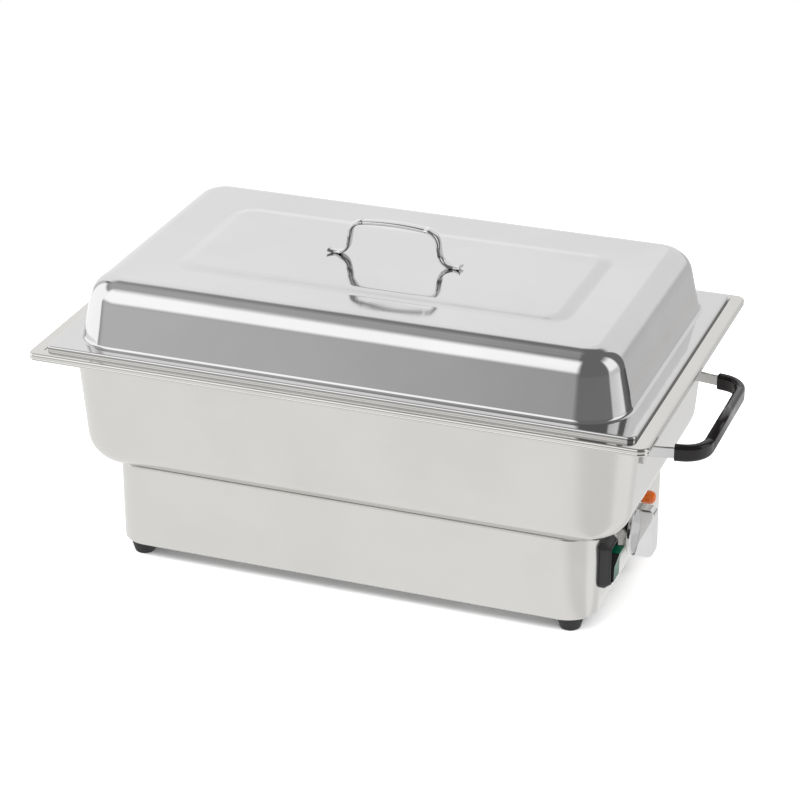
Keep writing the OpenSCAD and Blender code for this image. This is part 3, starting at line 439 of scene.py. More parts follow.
def swing(bm, faces, centre, axis, angle, steps):
    """Spins the end faces about a bend's centre and returns the new end."""
    made = bmesh.ops.spin(bm, geom=faces, cent=centre, axis=axis, dvec=(0, 0, 0), angle=angle,
                          steps=steps, use_merge=False, use_normal_flip=False,
                          use_duplicate=False)
    return [g for g in made["geom_last"] if isinstance(g, bmesh.types.BMFace)]


def mirror_half(bm, axis):
    """Adds the mirror image across a plane through the origin and joins the two halves."""
    side = "XYZ".index(axis)
    caps = [face for face in bm.faces if all(abs(v.co[side]) < TOUCH for v in face.verts)]
    bmesh.ops.delete(bm, geom=caps, context="FACES_ONLY")
    bmesh.ops.mirror(bm, geom=bm.verts[:] + bm.edges[:] + bm.faces[:],
                     matrix=Matrix.Identity(4), merge_dist=10 * TOUCH, axis=axis)


# %% [markdown]
# ## End handles
# Each end handle is a flat steel strip bent into a loop, its two tabs welded to the pan under
# the rim, with a thick plastic grip pushed over the bar and both bends. The two arms spread a
# little towards the pan, and the grip is fuller on its inner side, where the fingers close round
# it. Strip and grip follow the same middle line, so one walk serves both.

# %% Named sizes of the end handles
strip_low, strip_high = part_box("right_handle_strip")
sleeve_low, sleeve_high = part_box("right_handle_grip")
handle_z = (strip_low.z + strip_high.z) / 2
strip_height = 10 * MM
strip_thick = 3 * MM
strip_corner = 0.5 * MM
tab_length = 18 * MM
sleeve_height = sleeve_high.z - sleeve_low.z
sleeve_thick = 6.6 * MM
sleeve_swell = 2.4 * MM
sleeve_arm = 7 * MM
sleeve_roundness = 0.4
handle_reach = sleeve_high.x - sleeve_thick / 2
handle_bar = 112.8 * MM
handle_bend = 24 * MM
handle_spread = math.radians(9.5)
bend_turn = QUARTER - handle_spread
bend_x = handle_reach - handle_bend
bend_y = handle_bar / 2
wall_x = well_length / 2 - (pan_high.z - handle_z) * math.tan(well_draft)
bend_end_x = bend_x + handle_bend * math.cos(bend_turn)
arm_length = (bend_end_x - wall_x - strip_thick / 2) / math.cos(handle_spread)
print("handle arm in mm:", round(arm_length / MM, 1))


# %% Walking along one end handle
def walk_handle(bm, section, arm, bend_steps):
    """From the middle of the bar to the end of one arm; returns the end faces."""
    faces = push(bm, section, (0, bend_y, 0))
    faces = swing(bm, faces, (bend_x, bend_y, handle_z), (0, 0, 1), bend_turn, bend_steps)
    along = Vector((-math.cos(handle_spread), math.sin(handle_spread), 0))
    return push(bm, faces, along * arm)


def finish_handle(bm, side, name, slot, node, **edges):
    """Mirrors the walked half and turns the handle of the left end round to its place."""
    mirror_half(bm, "Y")
    if side == "left":
        half_turn = Matrix.Rotation(math.pi, 3, "Z")
        bmesh.ops.rotate(bm, verts=bm.verts, cent=(0, 0, 0), matrix=half_turn)
    finish_piece(bm, f"{side}_{name}", "root", slot, f"{side}_{node}", **edges)


# %% The steel strips
def build_strip(side):
    bm = bmesh.new()
    section = flat_section(bm, strip_thick, strip_height, strip_corner, steps=2,
                           place=(handle_reach, 0, handle_z))
    end = walk_handle(bm, section, arm_length, bend_steps=14)
    end_y = sum(v.co.y for v in end[0].verts) / len(end[0].verts)
    corner = (wall_x + strip_thick, end_y + strip_thick * 0.5, handle_z)
    end = swing(bm, end, corner, (0, 0, 1), -bend_turn, steps=5)
    push(bm, end, (0, tab_length - strip_thick, 0))
    finish_handle(bm, side, "strip", "polished_steel", "handle_strip")


for side in ("right", "left"):
    build_strip(side)


# %% The plastic grips
def build_grip(side):
    bm = bmesh.new()
    thick = sleeve_thick + sleeve_swell
    section = flat_section(bm, thick, sleeve_height, thick * sleeve_roundness, steps=8,
                           place=(handle_reach - sleeve_swell / 2, 0, handle_z))
    walk_handle(bm, section, sleeve_arm, bend_steps=18)
    finish_handle(bm, side, "grip", "grip_plastic", "handle_grip", edge=0.9 * MM, edge_steps=3)


for side in ("right", "left"):
    build_grip(side)

# %% [markdown]
# ## Lid handle
# The lid handle is a heavy strap with a flattened oval section, bent to a slim S on either side.
# From the middle of its slightly arched bar it turns down in a wide corner, runs down a short leg
# and swings out into a foot. Each foot narrows to a waist and then widens into a forked tail that
# curls up a little. The strap is walked with one section first, and the vertices of the feet are
# moved afterwards, as a smith would forge the ends of a bar last.

# %% Named sizes of the lid handle
strap_low, strap_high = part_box("lid_handle")
strap_base = strap_low.z
strap_top = strap_high.z
strap_half = strap_high.x
strap_width = 10 * MM
strap_thick = 4.2 * MM
strap_fullness = 0.75
strap_foot = 10 * MM
strap_low_bend = 11.5 * MM
strap_high_bend = 12.5 * MM
strap_lean = math.radians(81)
strap_steps = 12
bar_slope = math.radians(7)
foot_steps = 8
waist_width = 0.6
waist_start = 0.5
waist_end = 0.25
waist_thinning = 0.3
tail_half = strap_high.y
tail_flare = 1.4
tail_notch = 2.5 * MM
tail_curl = 1.3 * MM
print("strap height in mm:", round((strap_top - strap_base) / MM, 1))


# %% The strap's section
def strap_section(bm, place):
    """A flattened oval across the strap at x = 0, which catches lines of light on its edges."""
    verts = bmesh.ops.create_circle(bm, cap_ends=True, segments=24, radius=1)["verts"]
    face = verts[0].link_faces[0]
    for vert in verts:
        for axis in (0, 1):
            vert.co[axis] = math.copysign(abs(vert.co[axis]) ** strap_fullness, vert.co[axis])
    bmesh.ops.scale(bm, vec=(strap_width / 2, strap_thick / 2, 1), verts=verts)
    bmesh.ops.transform(bm, matrix=placed(FACE_ALONG_X, place), verts=verts)
    return [face]


# %% Shaping the feet
def ease(part):
    """A soft step from 0 to 1."""
    part = min(max(part, 0), 1)
    return part * part * (3 - 2 * part)


def shape_foot(bm, foot_in):
    """Gives the end of the strap its waist, its forked tail and its upward curl."""
    waist_in = foot_in - waist_start * strap_foot
    waist_out = foot_in + waist_end * strap_foot
    tail_width = tail_half / (strap_width / 2)
    for vert in bm.verts:
        if vert.co.x < waist_in:
            continue
        narrow = ease((vert.co.x - waist_in) / (waist_out - waist_in))
        widen = max((vert.co.x - waist_out) / (strap_half - waist_out), 0)
        waist = (waist_width - 1) * narrow
        vert.co.y *= 1 + waist + (tail_width - waist_width) * widen ** tail_flare
        vert.co.z -= waist_thinning * narrow * (vert.co.z - strap_base)
        vert.co.z += tail_curl * widen ** 2
        vert.co.x -= tail_notch * widen ** 4 * max(1 - abs(vert.co.y) / tail_half, 0)


# %% The lid handle
def build_strap():
    middle_low = strap_base + strap_thick / 2
    middle_top = strap_top - strap_thick / 2
    foot_in = strap_half - strap_foot
    leg_low_x = foot_in - strap_low_bend * math.sin(strap_lean)
    leg_low_z = middle_low + strap_low_bend * (1 - math.cos(strap_lean))
    slant = 1 / math.tan(strap_lean)
    corner_reach = strap_high_bend * (math.sin(strap_lean) - math.sin(bar_slope))
    corner_rise = strap_high_bend * (math.cos(bar_slope) - math.cos(strap_lean))
    arch = math.tan(bar_slope / 2)
    arch_base = leg_low_x + slant * leg_low_z - corner_reach
    leg_high_z = (middle_top - corner_rise - arch * arch_base) / (1 - arch * slant)
    leg_high_x = leg_low_x - slant * (leg_high_z - leg_low_z)
    bar_bend = (leg_high_x - corner_reach) / math.sin(bar_slope)
    around = (0, 1, 0)
    bm = bmesh.new()
    faces = strap_section(bm, Vector((0, 0, middle_top)))
    faces = swing(bm, faces, (0, 0, middle_top - bar_bend), around, bar_slope, strap_steps)
    centre = (leg_high_x - strap_high_bend * math.sin(strap_lean), 0,
              leg_high_z - strap_high_bend * math.cos(strap_lean))
    faces = swing(bm, faces, centre, around, strap_lean - bar_slope, strap_steps)
    faces = push(bm, faces, (leg_low_x - leg_high_x, 0, leg_low_z - leg_high_z))
    centre = (foot_in, 0, middle_low + strap_low_bend)
    faces = swing(bm, faces, centre, around, -strap_lean, strap_steps)
    for part in range(foot_steps):
        faces = push(bm, faces, (strap_foot / foot_steps, 0, 0))
    shape_foot(bm, foot_in)
    mirror_half(bm, "X")
    finish_piece(bm, "lid_strap", "lid", "chrome", "lid_handle")


build_strap()

# %% [markdown]
# ## Rubber feet
# Each foot is a short rubber cone with a hollow in its sole for the screw's head. Half of its
# section is drawn once and spun right round, which is how a lathe would see it.

# %% Spinning a section
def spin_section(bm, points, centre, axis, steps):
    """Spins a closed chain of (radius, along) points about an axis through centre."""
    lean = Vector((0, 0, 1)).rotation_difference(Vector(axis)).to_matrix()
    stand = placed(lean, centre)
    verts = []
    for radius, along in points:
        place = stand @ Vector((radius, 0, along))
        verts += bmesh.ops.create_vert(bm, co=place)["vert"]
    edges = [bm.edges.new(pair) for pair in zip(verts, verts[1:])]
    if points[0][0] > 0 and points[-1][0] > 0:
        edges.append(bm.edges.new((verts[-1], verts[0])))
    bmesh.ops.spin(bm, geom=verts + edges, cent=centre, axis=axis, dvec=(0, 0, 0),
                   angle=math.tau, steps=steps, use_merge=True, use_normal_flip=False,
                   use_duplicate=False)
    bmesh.ops.remove_doubles(bm, verts=bm.verts, dist=TOUCH)


# %% The four feet
foot_hole = 2.3 * MM
foot_pocket = 4.3 * MM
foot_pocket_height = 6 * MM
foot_pocket_edge = 0.6 * MM
foot_tip = 10 * MM
foot_edge = 1.5 * MM


def build_foot(corner):
    node = f"foot_{corner}"
    low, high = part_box(node)
    top_r = (high.x - low.x) / 2
    height = high.z - low.z
    section = [(foot_hole, height), (foot_hole, foot_pocket_height)]
    section += [(foot_pocket, foot_pocket_height), (foot_pocket, foot_pocket_edge)]
    section += [(foot_pocket + foot_pocket_edge, 0), (foot_tip - foot_edge, 0)]
    section += arc((foot_tip - foot_edge, foot_edge), foot_edge, -QUARTER, QUARTER, steps=4)[1:]
    section += [(top_r, height - foot_edge), (top_r, height)]
    bm = bmesh.new()
    centre = Vector(((low.x + high.x) / 2, (low.y + high.y) / 2, low.z))
    spin_section(bm, section, centre, axis=(0, 0, 1), steps=48)
    finish_piece(bm, f"{corner}_foot", "root", "foot_rubber", node, edge=0.3 * MM)


for corner in ("front_left", "front_right", "rear_left", "rear_right"):
    build_foot(corner)

# %% [markdown]
# ## Control knob
# The knob is a chromed cap. A thin round skirt with a turned groove carries a straight bar across
# its face, which the fingers hold. The skirt is spun, and the bar is a block whose outer corners
# and edges are bevelled.

# %% Named sizes of the knob
knob_low, knob_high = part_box("control_knob")
knob_centre = Vector((knob_low.x, (knob_low.y + knob_high.y) / 2, (knob_low.z + knob_high.z) / 2))
skirt_r = (knob_high.z - knob_low.z) / 2
skirt_thick = 4 * MM
skirt_wall = 2 * MM
skirt_hollow = 2 * MM
skirt_chamfer = 0.5 * MM
skirt_round = 0.8 * MM
groove_out = 1.2 * MM
groove_floor_out = 1.3 * groove_out
groove_floor_in = 2 * groove_out
groove_in = 2.4 * groove_out
groove_depth = 0.8 * groove_out
knob_grip = 13 * MM
knob_setback = 1 * MM
knob_round = 7 * MM
print("knob across in mm:", round(2 * skirt_r / MM, 1))


# %% The skirt and the bar
def spin_skirt(bm):
    """The round skirt, hollow behind, with a groove turned into its face."""
    section = [(0, skirt_hollow), (skirt_r - skirt_wall, skirt_hollow), (skirt_r - skirt_wall, 0)]
    section += [(skirt_r - skirt_chamfer, 0), (skirt_r, skirt_chamfer)]
    section += arc((skirt_r - skirt_round, skirt_thick - skirt_round), skirt_round,
                   0, QUARTER, steps=3)
    groove_floor = skirt_thick - groove_depth
    section += [(skirt_r - groove_out, skirt_thick), (skirt_r - groove_floor_out, groove_floor)]
    section += [(skirt_r - groove_floor_in, groove_floor), (skirt_r - groove_in, skirt_thick)]
    section += [(0, skirt_thick)]
    spin_section(bm, section, knob_centre, axis=(1, 0, 0), steps=64)


def add_bar(bm):
    """The bar that the fingers hold, with its two outer ends rounded."""
    reach = knob_high.x - knob_low.x
    block = bmesh.ops.create_cube(bm, size=1)["verts"]
    size = (reach - skirt_hollow, knob_grip, 2 * (skirt_r - knob_setback))
    bmesh.ops.scale(bm, vec=size, verts=block)
    middle = Vector(((reach + skirt_hollow) / 2, 0, 0))
    bmesh.ops.translate(bm, vec=knob_centre + middle, verts=block)
    ends = []
    for edge in bm.edges:
        first, last = edge.verts
        outer = min(first.co.x, last.co.x) > knob_centre.x + reach / 2
        across = abs(first.co.y - last.co.y) > knob_grip / 2
        if first in block and last in block and outer and across:
            ends.append(edge)
    bmesh.ops.bevel(bm, geom=ends, offset=knob_round, offset_type="OFFSET", segments=8,
                    profile=0.5, affect="EDGES", material=-1)


# %% The knob
knob_mesh = bmesh.new()
spin_skirt(knob_mesh)
add_bar(knob_mesh)
finish_piece(knob_mesh, "knob_cap", "knob", "chrome", "control_knob", edge=2 * MM, edge_steps=4)

# %% [markdown]
# ## Rocker switch
# The switch snaps into the end wall. Its black frame has a broad chamfer, then a second step
# round the pocket in which the rocker tilts. The rocker's face dips in the middle, so that a
# finger finds either end. A broad strip down its middle is dark green and translucent, and the
# rest is black. Both colours come from its material, further down.

# %% Named sizes of the switch
switch_low, switch_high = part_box("switch_frame")
wall_x_out = housing_high.x
switch_y = (switch_low.y + switch_high.y) / 2
switch_z = (switch_low.z + switch_high.z) / 2
frame_width = switch_high.y - switch_low.y
frame_height = switch_high.z - switch_low.z
frame_corner = 6 * MM
frame_reach = 10 * MM
frame_side = 4.5 * MM
chamfer_top = 7.5 * MM
step_top = 8.2 * MM
ridge_top = 9.3 * MM
step_inset = 2.5 * MM
ridge_inset = step_inset + 1 * MM
face_inset = step_inset + 1.7 * MM
pocket_margin = 5.5 * MM
pocket_corner = 1.2 * MM
pocket_edge = 0.5 * MM
pocket_floor = 1 * MM
rocker_width = 19 * MM
rocker_slack = 0.3 * MM
print("switch in mm:", round(frame_width / MM, 1), "by", round(frame_height / MM, 1))


# %% The switch frame
def build_switch_frame():
    outside = (frame_width / 2, frame_height / 2, frame_corner)
    steps = [(0, 0), (0, frame_side), (-step_inset, chamfer_top), (-step_inset, step_top)]
    steps += [(-ridge_inset, step_top), (-ridge_inset, ridge_top), (-face_inset, frame_reach)]
    inside = (rocker_width / 2 + rocker_slack, frame_height / 2 - pocket_margin, pocket_corner)
    pocket = [(pocket_edge, frame_reach), (0, frame_reach - pocket_edge), (0, pocket_floor)]
    bm = bmesh.new()
    draw_sheet(bm, rings_on(outside, steps) + rings_on(inside, pocket))
    stand = placed(FACE_ALONG_X, Vector((wall_x_out, switch_y, switch_z)))
    bmesh.ops.transform(bm, matrix=stand, verts=bm.verts)
    finish_piece(bm, "switch_surround", "root", "switch_plastic", "switch_frame", edge=0.35 * MM)


build_switch_frame()

# %% The rocker
rocker_half = 15.5 * MM
rocker_back = 3 * MM
rocker_taper = 3 * MM
rocker_tip = 8 * MM
rocker_dip = 6 * MM
rocker_pin = 3.5 * MM
rocker_tilt = math.radians(9)


def build_rocker():
    bm = bmesh.new()
    back_half = rocker_half - rocker_taper
    points = [(-rocker_back, -back_half), (rocker_tip, -rocker_half), (rocker_dip, 0)]
    points += [(rocker_tip, rocker_half), (-rocker_back, back_half)]
    verts = []
    for x, z in points:
        verts += bmesh.ops.create_vert(bm, co=(x, -rocker_width / 2, z))["vert"]
    push(bm, [bm.faces.new(verts)], (0, rocker_width, 0))
    bmesh.ops.contextual_create(bm, geom=[v for v in bm.verts if v.co.y < 0])
    tilt = Matrix.Rotation(rocker_tilt, 4, "Y")
    pin = (wall_x_out + frame_reach - rocker_pin, switch_y, switch_z)
    bmesh.ops.transform(bm, matrix=Matrix.Translation(pin) @ tilt, verts=bm.verts)
    finish_piece(bm, "rocker_cap", "rocker", "green_lens", "switch_rocker",
                 edge=0.8 * MM, edge_steps=3)


build_rocker()

# %% [markdown]
# ## Signal lamp
# The lamp's lens is moulded with ten flats that break up the light of the little lamp behind it,
# and a round flange that rests on the wall. Spinning the section in ten steps gives the flats.

# %% Named sizes of the lamp
lamp_low, lamp_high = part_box("lamp_lens")
lens_r = (lamp_high.z - lamp_low.z) / 2
lens_body = lens_r - 0.4 * MM
lens_back = 0.5 * MM
lens_flats = 10
side_end = 0.62
shoulder_width = 0.8
shoulder_end = 0.86
crown_width = 0.42
crown_end = 0.97
flange_thick = 2 * MM
flange_edge = 0.4 * MM
flange_back_edge = 0.3 * MM
print("lens across in mm:", round(2 * lens_r / MM, 1))


# %% The lamp's lens
def build_lamp():
    centre = Vector((lamp_low.x, (lamp_low.y + lamp_high.y) / 2, (lamp_low.z + lamp_high.z) / 2))
    reach = lamp_high.x - lamp_low.x
    lens = [(0, lens_back), (lens_body, lens_back), (lens_body, reach * side_end)]
    lens += [(lens_body * shoulder_width, reach * shoulder_end)]
    lens += [(lens_body * crown_width, reach * crown_end), (0, reach)]
    flange = [(0, 0), (lens_r - flange_back_edge, 0), (lens_r, flange_edge)]
    flange += [(lens_r, flange_thick - flange_edge), (lens_r - flange_edge, flange_thick)]
    flange += [(0, flange_thick)]
    bm = bmesh.new()
    spin_section(bm, lens, centre, axis=(1, 0, 0), steps=lens_flats)
    spin_section(bm, flange, centre, axis=(1, 0, 0), steps=40)
    finish_piece(bm, "lamp_cap", "root", "orange_lens", "lamp_lens", edge=0.3 * MM, smooth=False)


build_lamp()

# %% [markdown]
# ## Helpers for node trees
# Materials and the world are built from nodes. Linking them one by one takes many lines, so a few
# helpers do the usual jobs. In each of them an input may be a plain value or the output of
# another node, as when one types a number into a socket or drags a link to it.

# %% Adding nodes
def join(tree, source, target):
    tree.links.new(source, target)


def add_node(tree, kind, settings=None, inputs=None):
    """A node with its settings and its inputs, which go by name or number."""
    node = tree.nodes.new(kind)
    for key, value in (settings or {}).items():
        setattr(node, key, value)
    for key, value in (inputs or {}).items():
        if isinstance(value, bpy.types.NodeSocket):
            join(tree, value, node.inputs[key])
        else:
            node.inputs[key].default_value = value
    return node


def calculate(tree, operation, *inputs):
    """The result of a Math node."""
    node = add_node(tree, "ShaderNodeMath", {"operation": operation}, dict(enumerate(inputs)))
    return node.outputs[0]


def mix(tree, factor, first, second, kind="FLOAT"):
    """The first value where the factor is 0 and the second where it is 1."""
    node = add_node(tree, "ShaderNodeMix", {"data_type": kind},
                    {"Factor": factor, "A": first, "B": second})
    return node.outputs["Result"]


def rise(tree, value, low, high, to_low=0.0, to_high=1.0, shape="SMOOTHSTEP"):
    """Turns the range from low to high into another one, softly unless the shape is LINEAR."""
    node = add_node(tree, "ShaderNodeMapRange", {"interpolation_type": shape},
                    {"Value": value, "From Min": low, "From Max": high,
                     "To Min": to_low, "To Max": to_high})
    return node.outputs["Result"]


# %% Coordinates, noise and groups
def object_place(tree):
    """The place on the piece, in metres, which a piece keeps when it moves."""
    return add_node(tree, "ShaderNodeTexCoord").outputs["Object"]


def along(tree, vector, axis):
    """How far a vector goes along one axis."""
    return add_node(tree, "ShaderNodeSeparateXYZ", None, {0: vector}).outputs[axis]


def noise(tree, coords, inputs, stretch=None):
    """Noise on coordinates that may first be scaled differently along each axis."""
    if stretch:
        coords = add_node(tree, "ShaderNodeVectorMath", {"operation": "MULTIPLY"},
                          {0: coords, 1: stretch}).outputs[0]
    return add_node(tree, "ShaderNodeTexNoise", None, {"Vector": coords, **inputs}).outputs["Fac"]


def new_group(name, inputs, outputs):
    """A node group; an input without a number is a vector, and the outputs are floats."""
    tree = bpy.data.node_groups.new(name, "ShaderNodeTree")
    for label, value in inputs.items():
        kind = "NodeSocketVector" if value is None else "NodeSocketFloat"
        socket = tree.interface.new_socket(name=label, in_out="INPUT", socket_type=kind)
        if value is not None:
            socket.default_value = value
    for label in outputs:
        tree.interface.new_socket(name=label, in_out="OUTPUT", socket_type="NodeSocketFloat")
    return tree, tree.nodes.new("NodeGroupInput").outputs, tree.nodes.new("NodeGroupOutput").inputs


def use_group(tree, group, inputs):
    return add_node(tree, "ShaderNodeGroup", {"node_tree": group}, inputs)


# %% [markdown]
# ## Effects that several finishes share
# Five node groups hold what the finishes have in common. *Sheet grain* gives the fine lines that
# a grinding belt leaves: noise that is stretched along the sheet, along X on the long walls and
# the top and along Y on the end walls. *Handling marks* gives the broad cloudy patches and the few
# hair scratches that every used steel dish has. *Pressing waves* gives the slow swell of a sheet
# that was drawn over a tool, which bends mirror images. *Band mask* marks a strip between two
# heights or distances. *Moulded skin* gives the faint texture of plastic and rubber that has come
# out of a mould. The groups put out only masks and values.

# %% Sheet grain
STEEL_FINENESS = 900.0
NOISE_ROUGHNESS = 0.6
GRAIN_STRETCH = 0.012
END_WALL_TURN = (0.6, 0.8)


def make_sheet_grain():
    tree, given, out = new_group("Sheet grain",
                                 {"Coordinates": None, "Fineness": STEEL_FINENESS}, ["Grain"])
    fine = {"Scale": given["Fineness"], "Detail": 4, "Roughness": NOISE_ROUGHNESS}
    along_x = noise(tree, given["Coordinates"], fine, stretch=(GRAIN_STRETCH, 1, 1))
    along_y = noise(tree, given["Coordinates"], fine, stretch=(1, GRAIN_STRETCH, 1))
    normal = add_node(tree, "ShaderNodeNewGeometry").outputs["Normal"]
    sideways = calculate(tree, "ABSOLUTE", along(tree, normal, "X"))
    end_wall = rise(tree, sideways, *END_WALL_TURN)
    join(tree, mix(tree, end_wall, along_x, along_y), out["Grain"])
    return tree


sheet_grain = make_sheet_grain()

# %% Handling marks
STEEL_PATCHES = 9.0
CLOUD_RANGE = (0.35, 0.65)
HAIR_TURN = (0.3, 0.2, 0.6)
HAIR_STRETCH = (14, 620, 620)
HAIR_RANGE = (0.70, 0.76)


def make_handling_marks():
    tree, given, out = new_group("Handling marks",
                                 {"Coordinates": None, "Patch size": STEEL_PATCHES},
                                 ["Clouds", "Scratches"])
    clouds = noise(tree, given["Coordinates"],
                   {"Scale": given["Patch size"], "Detail": 3, "Roughness": NOISE_ROUGHNESS})
    join(tree, rise(tree, clouds, *CLOUD_RANGE), out["Clouds"])
    turned = add_node(tree, "ShaderNodeMapping", None,
                      {"Vector": given["Coordinates"], "Rotation": HAIR_TURN,
                       "Scale": HAIR_STRETCH})
    hairs = noise(tree, turned.outputs["Vector"], {"Scale": 1.0, "Detail": 2.0})
    join(tree, rise(tree, hairs, *HAIR_RANGE), out["Scratches"])
    return tree


handling_marks = make_handling_marks()

# %% Pressing waves
WAVE_SCALE = 24.0
WAVE_STRETCH = (0.6, 1, 1)


def make_pressing_waves():
    tree, given, out = new_group("Pressing waves", {"Coordinates": None}, ["Waves"])
    broad = {"Scale": WAVE_SCALE, "Detail": 1.0}
    waves = noise(tree, given["Coordinates"], broad, stretch=WAVE_STRETCH)
    join(tree, waves, out["Waves"])
    return tree


pressing_waves = make_pressing_waves()

# %% Band mask
BAND_SOFTNESS = 0.3 * MM


def make_band_mask():
    tree, given, out = new_group("Band mask", {"Value": 0.0, "Low": 0.0, "High": 1.0,
                                               "Softness": BAND_SOFTNESS}, ["Mask"])
    steps = []
    for place in (given["Low"], given["High"]):
        start = calculate(tree, "SUBTRACT", place, given["Softness"])
        end = calculate(tree, "ADD", place, given["Softness"])
        steps.append(rise(tree, given["Value"], start, end))
    join(tree, calculate(tree, "SUBTRACT", *steps), out["Mask"])
    return tree


band_mask = make_band_mask()


def strip(tree, value, low, high, softness):
    """A mask that is 1 where the value lies between low and high."""
    limits = {"Value": value, "Low": low, "High": high, "Softness": softness}
    return use_group(tree, band_mask, limits).outputs["Mask"]


# %% Moulded skin
SKIN_FINENESS = 1500.0
TINT_SCALE = 30.0


def make_moulded_skin():
    tree, given, out = new_group("Moulded skin",
                                 {"Coordinates": None, "Fineness": SKIN_FINENESS},
                                 ["Pits", "Tint"])
    pits = noise(tree, given["Coordinates"],
                 {"Scale": given["Fineness"], "Detail": 2, "Roughness": NOISE_ROUGHNESS})
    tint = noise(tree, given["Coordinates"], {"Scale": TINT_SCALE, "Detail": 3.0})
    join(tree, pits, out["Pits"])
    join(tree, tint, out["Tint"])
    return tree


moulded_skin = make_moulded_skin()
print("groups:", ", ".join(g.name for g in bpy.data.node_groups))

# %% [markdown]
# ## Metal finishes
# A metal's look is mostly its roughness. The pans and the base are satin: the grain spreads a
# mirror image into a soft even tone. The lid is ground much finer and then buffed, so it still
# mirrors its own handle. The fasteners inside the base are plain zinc, brass or copper. One
# function builds them all: the grain moves the roughness up and down a little, the clouds move
# the colour, and two very shallow bumps, the grain and the pressing waves, unsettle the
# highlights. Narrow strips can be painted darker, as painted shade where a gap or an edge would
# fall into shadow, or glossier, as on the water pan's rim, which is buffed more than its walls.

# %% Starting a material, and masks on it
def new_material(name):
    material = bpy.data.materials.new(name)
    material.use_nodes = True
    return material, material.node_tree


def overlap(tree, place, limits):
    """1 where the distance from the middle lies in the range (axis, low, high) of each limit."""
    total = None
    for axis, low, high in limits:
        distance = calculate(tree, "ABSOLUTE", along(tree, place, axis))
        mask = strip(tree, distance, low, high, BAND_SOFTNESS)
        total = mask if total is None else calculate(tree, "MULTIPLY", total, mask)
    return total


# %% One function for every metal
GRAIN_RANGE = (0.25, 0.75)
GRAIN_DEPTH = 0.02 * MM
SCRATCH_HAZE = 0.08
BUFFED = 0.08


def metal(name, colour, dark, rough, fineness=STEEL_FINENESS, bump=0.1, patch=STEEL_PATCHES,
          wave=0.0, painted_shadows=(), shade=0.5, gloss=()):
    """A metal with grain: colour and dark are its two tones, and rough is (smooth, rough).

    Each painted shadow is a strip of painted shade where its limits overlap, and shade is its
    share of the metal's own colour. The gloss lies where its own limits overlap, and is buffed.
    """
    material, tree = new_material(name)
    place = object_place(tree)
    grain = use_group(tree, sheet_grain, {"Coordinates": place, "Fineness": fineness})
    marks = use_group(tree, handling_marks, {"Coordinates": place, "Patch size": patch})
    waves = use_group(tree, pressing_waves, {"Coordinates": place})
    tone = mix(tree, marks.outputs["Clouds"], (*dark, 1), (*colour, 1), "RGBA")
    # Painted shade: where the limits of each painted shadow strip overlap, the colour falls to a
    # darker share of the metal's own colour.
    shaded = (*[part * shade for part in colour], 1)
    for painted_strip in painted_shadows:
        tone = mix(tree, overlap(tree, place, painted_strip), tone, shaded, "RGBA")
    level = rise(tree, grain.outputs["Grain"], *GRAIN_RANGE, *rough, "LINEAR")
    level = calculate(tree, "MULTIPLY_ADD", marks.outputs["Scratches"], SCRATCH_HAZE, level)
    if gloss:
        level = mix(tree, overlap(tree, place, gloss), level, BUFFED)
    swell = add_node(tree, "ShaderNodeBump", None,
                     {"Strength": 1.0, "Distance": wave, "Height": waves.outputs["Waves"]})
    relief = add_node(tree, "ShaderNodeBump", None,
                      {"Strength": bump, "Distance": GRAIN_DEPTH,
                       "Height": grain.outputs["Grain"], "Normal": swell.outputs["Normal"]})
    shader = tree.nodes["Principled BSDF"]
    shader.inputs["Metallic"].default_value = 1.0
    join(tree, tone, shader.inputs["Base Color"])
    join(tree, level, shader.inputs["Roughness"])
    join(tree, relief.outputs["Normal"], shader.inputs["Normal"])
    return material


# %% The metals that show
# Painted shadow: a dark strip on the water pan's rim just past the lid's edge, where the gap under
# the lid's lip would throw its shade.
rim_gap_shadow = [("X", lid_high.x + 0.1 * MM, lid_high.x + 1.2 * MM), ("Y", -1 * MM, lid_high.y)]
# Painted shadow: a dark strip along the bottom edge of the base housing, for its contact shadow on
# the table.
base_contact_shadow = [("Z", -1 * MM, housing_low.z + 0.9 * MM)]
rim_gloss = [("Z", pan_high.z - rim_lip - 1 * MM, pan_high.z + 2 * MM)]
# Painted shade: a dark band across the lid's lip, for the dark reflection and shade on its face;
# the lowest part of the lip keeps its own colour.
lip_painted_shade = [("Z", lid_low.z + 1.4 * MM, lid_low.z + lid_lip - 1.6 * MM)]
finishes = {
    "satin_steel": metal("satin steel", (0.66, 0.652, 0.632), (0.635, 0.627, 0.607),
                         rough=(0.17, 0.21), wave=0.3 * MM, painted_shadows=[rim_gap_shadow, base_contact_shadow],
                         shade=0.1, gloss=rim_gloss),
    "polished_steel": metal("polished steel", (0.66, 0.655, 0.655), (0.64, 0.635, 0.635),
                            rough=(0.06, 0.10), fineness=1400.0, bump=0.05, wave=0.35 * MM,
                            painted_shadows=[lip_painted_shade]),
    "chrome": metal("chrome plate", (0.69, 0.69, 0.69), (0.66, 0.66, 0.66),
                    rough=(0.03, 0.06), bump=0.02, patch=40.0),
}

# %% The metals inside the base
finishes.update({
    "zinc_steel": metal("zinc plated steel", (0.56, 0.56, 0.55), (0.42, 0.42, 0.41),
                        rough=(0.38, 0.5), patch=60.0),
    "heater_sheath": metal("heater sheath", (0.17, 0.15, 0.14), (0.09, 0.08, 0.08),
                           rough=(0.45, 0.6), patch=50.0),
    "copper": metal("drawn copper", (0.80, 0.42, 0.26), (0.62, 0.31, 0.2),
                    rough=(0.25, 0.35), patch=60.0),
    "brass": metal("turned brass", (0.78, 0.60, 0.28), (0.62, 0.46, 0.2),
                   rough=(0.25, 0.35), patch=60.0),
})
print("metals:", ", ".join(finishes))

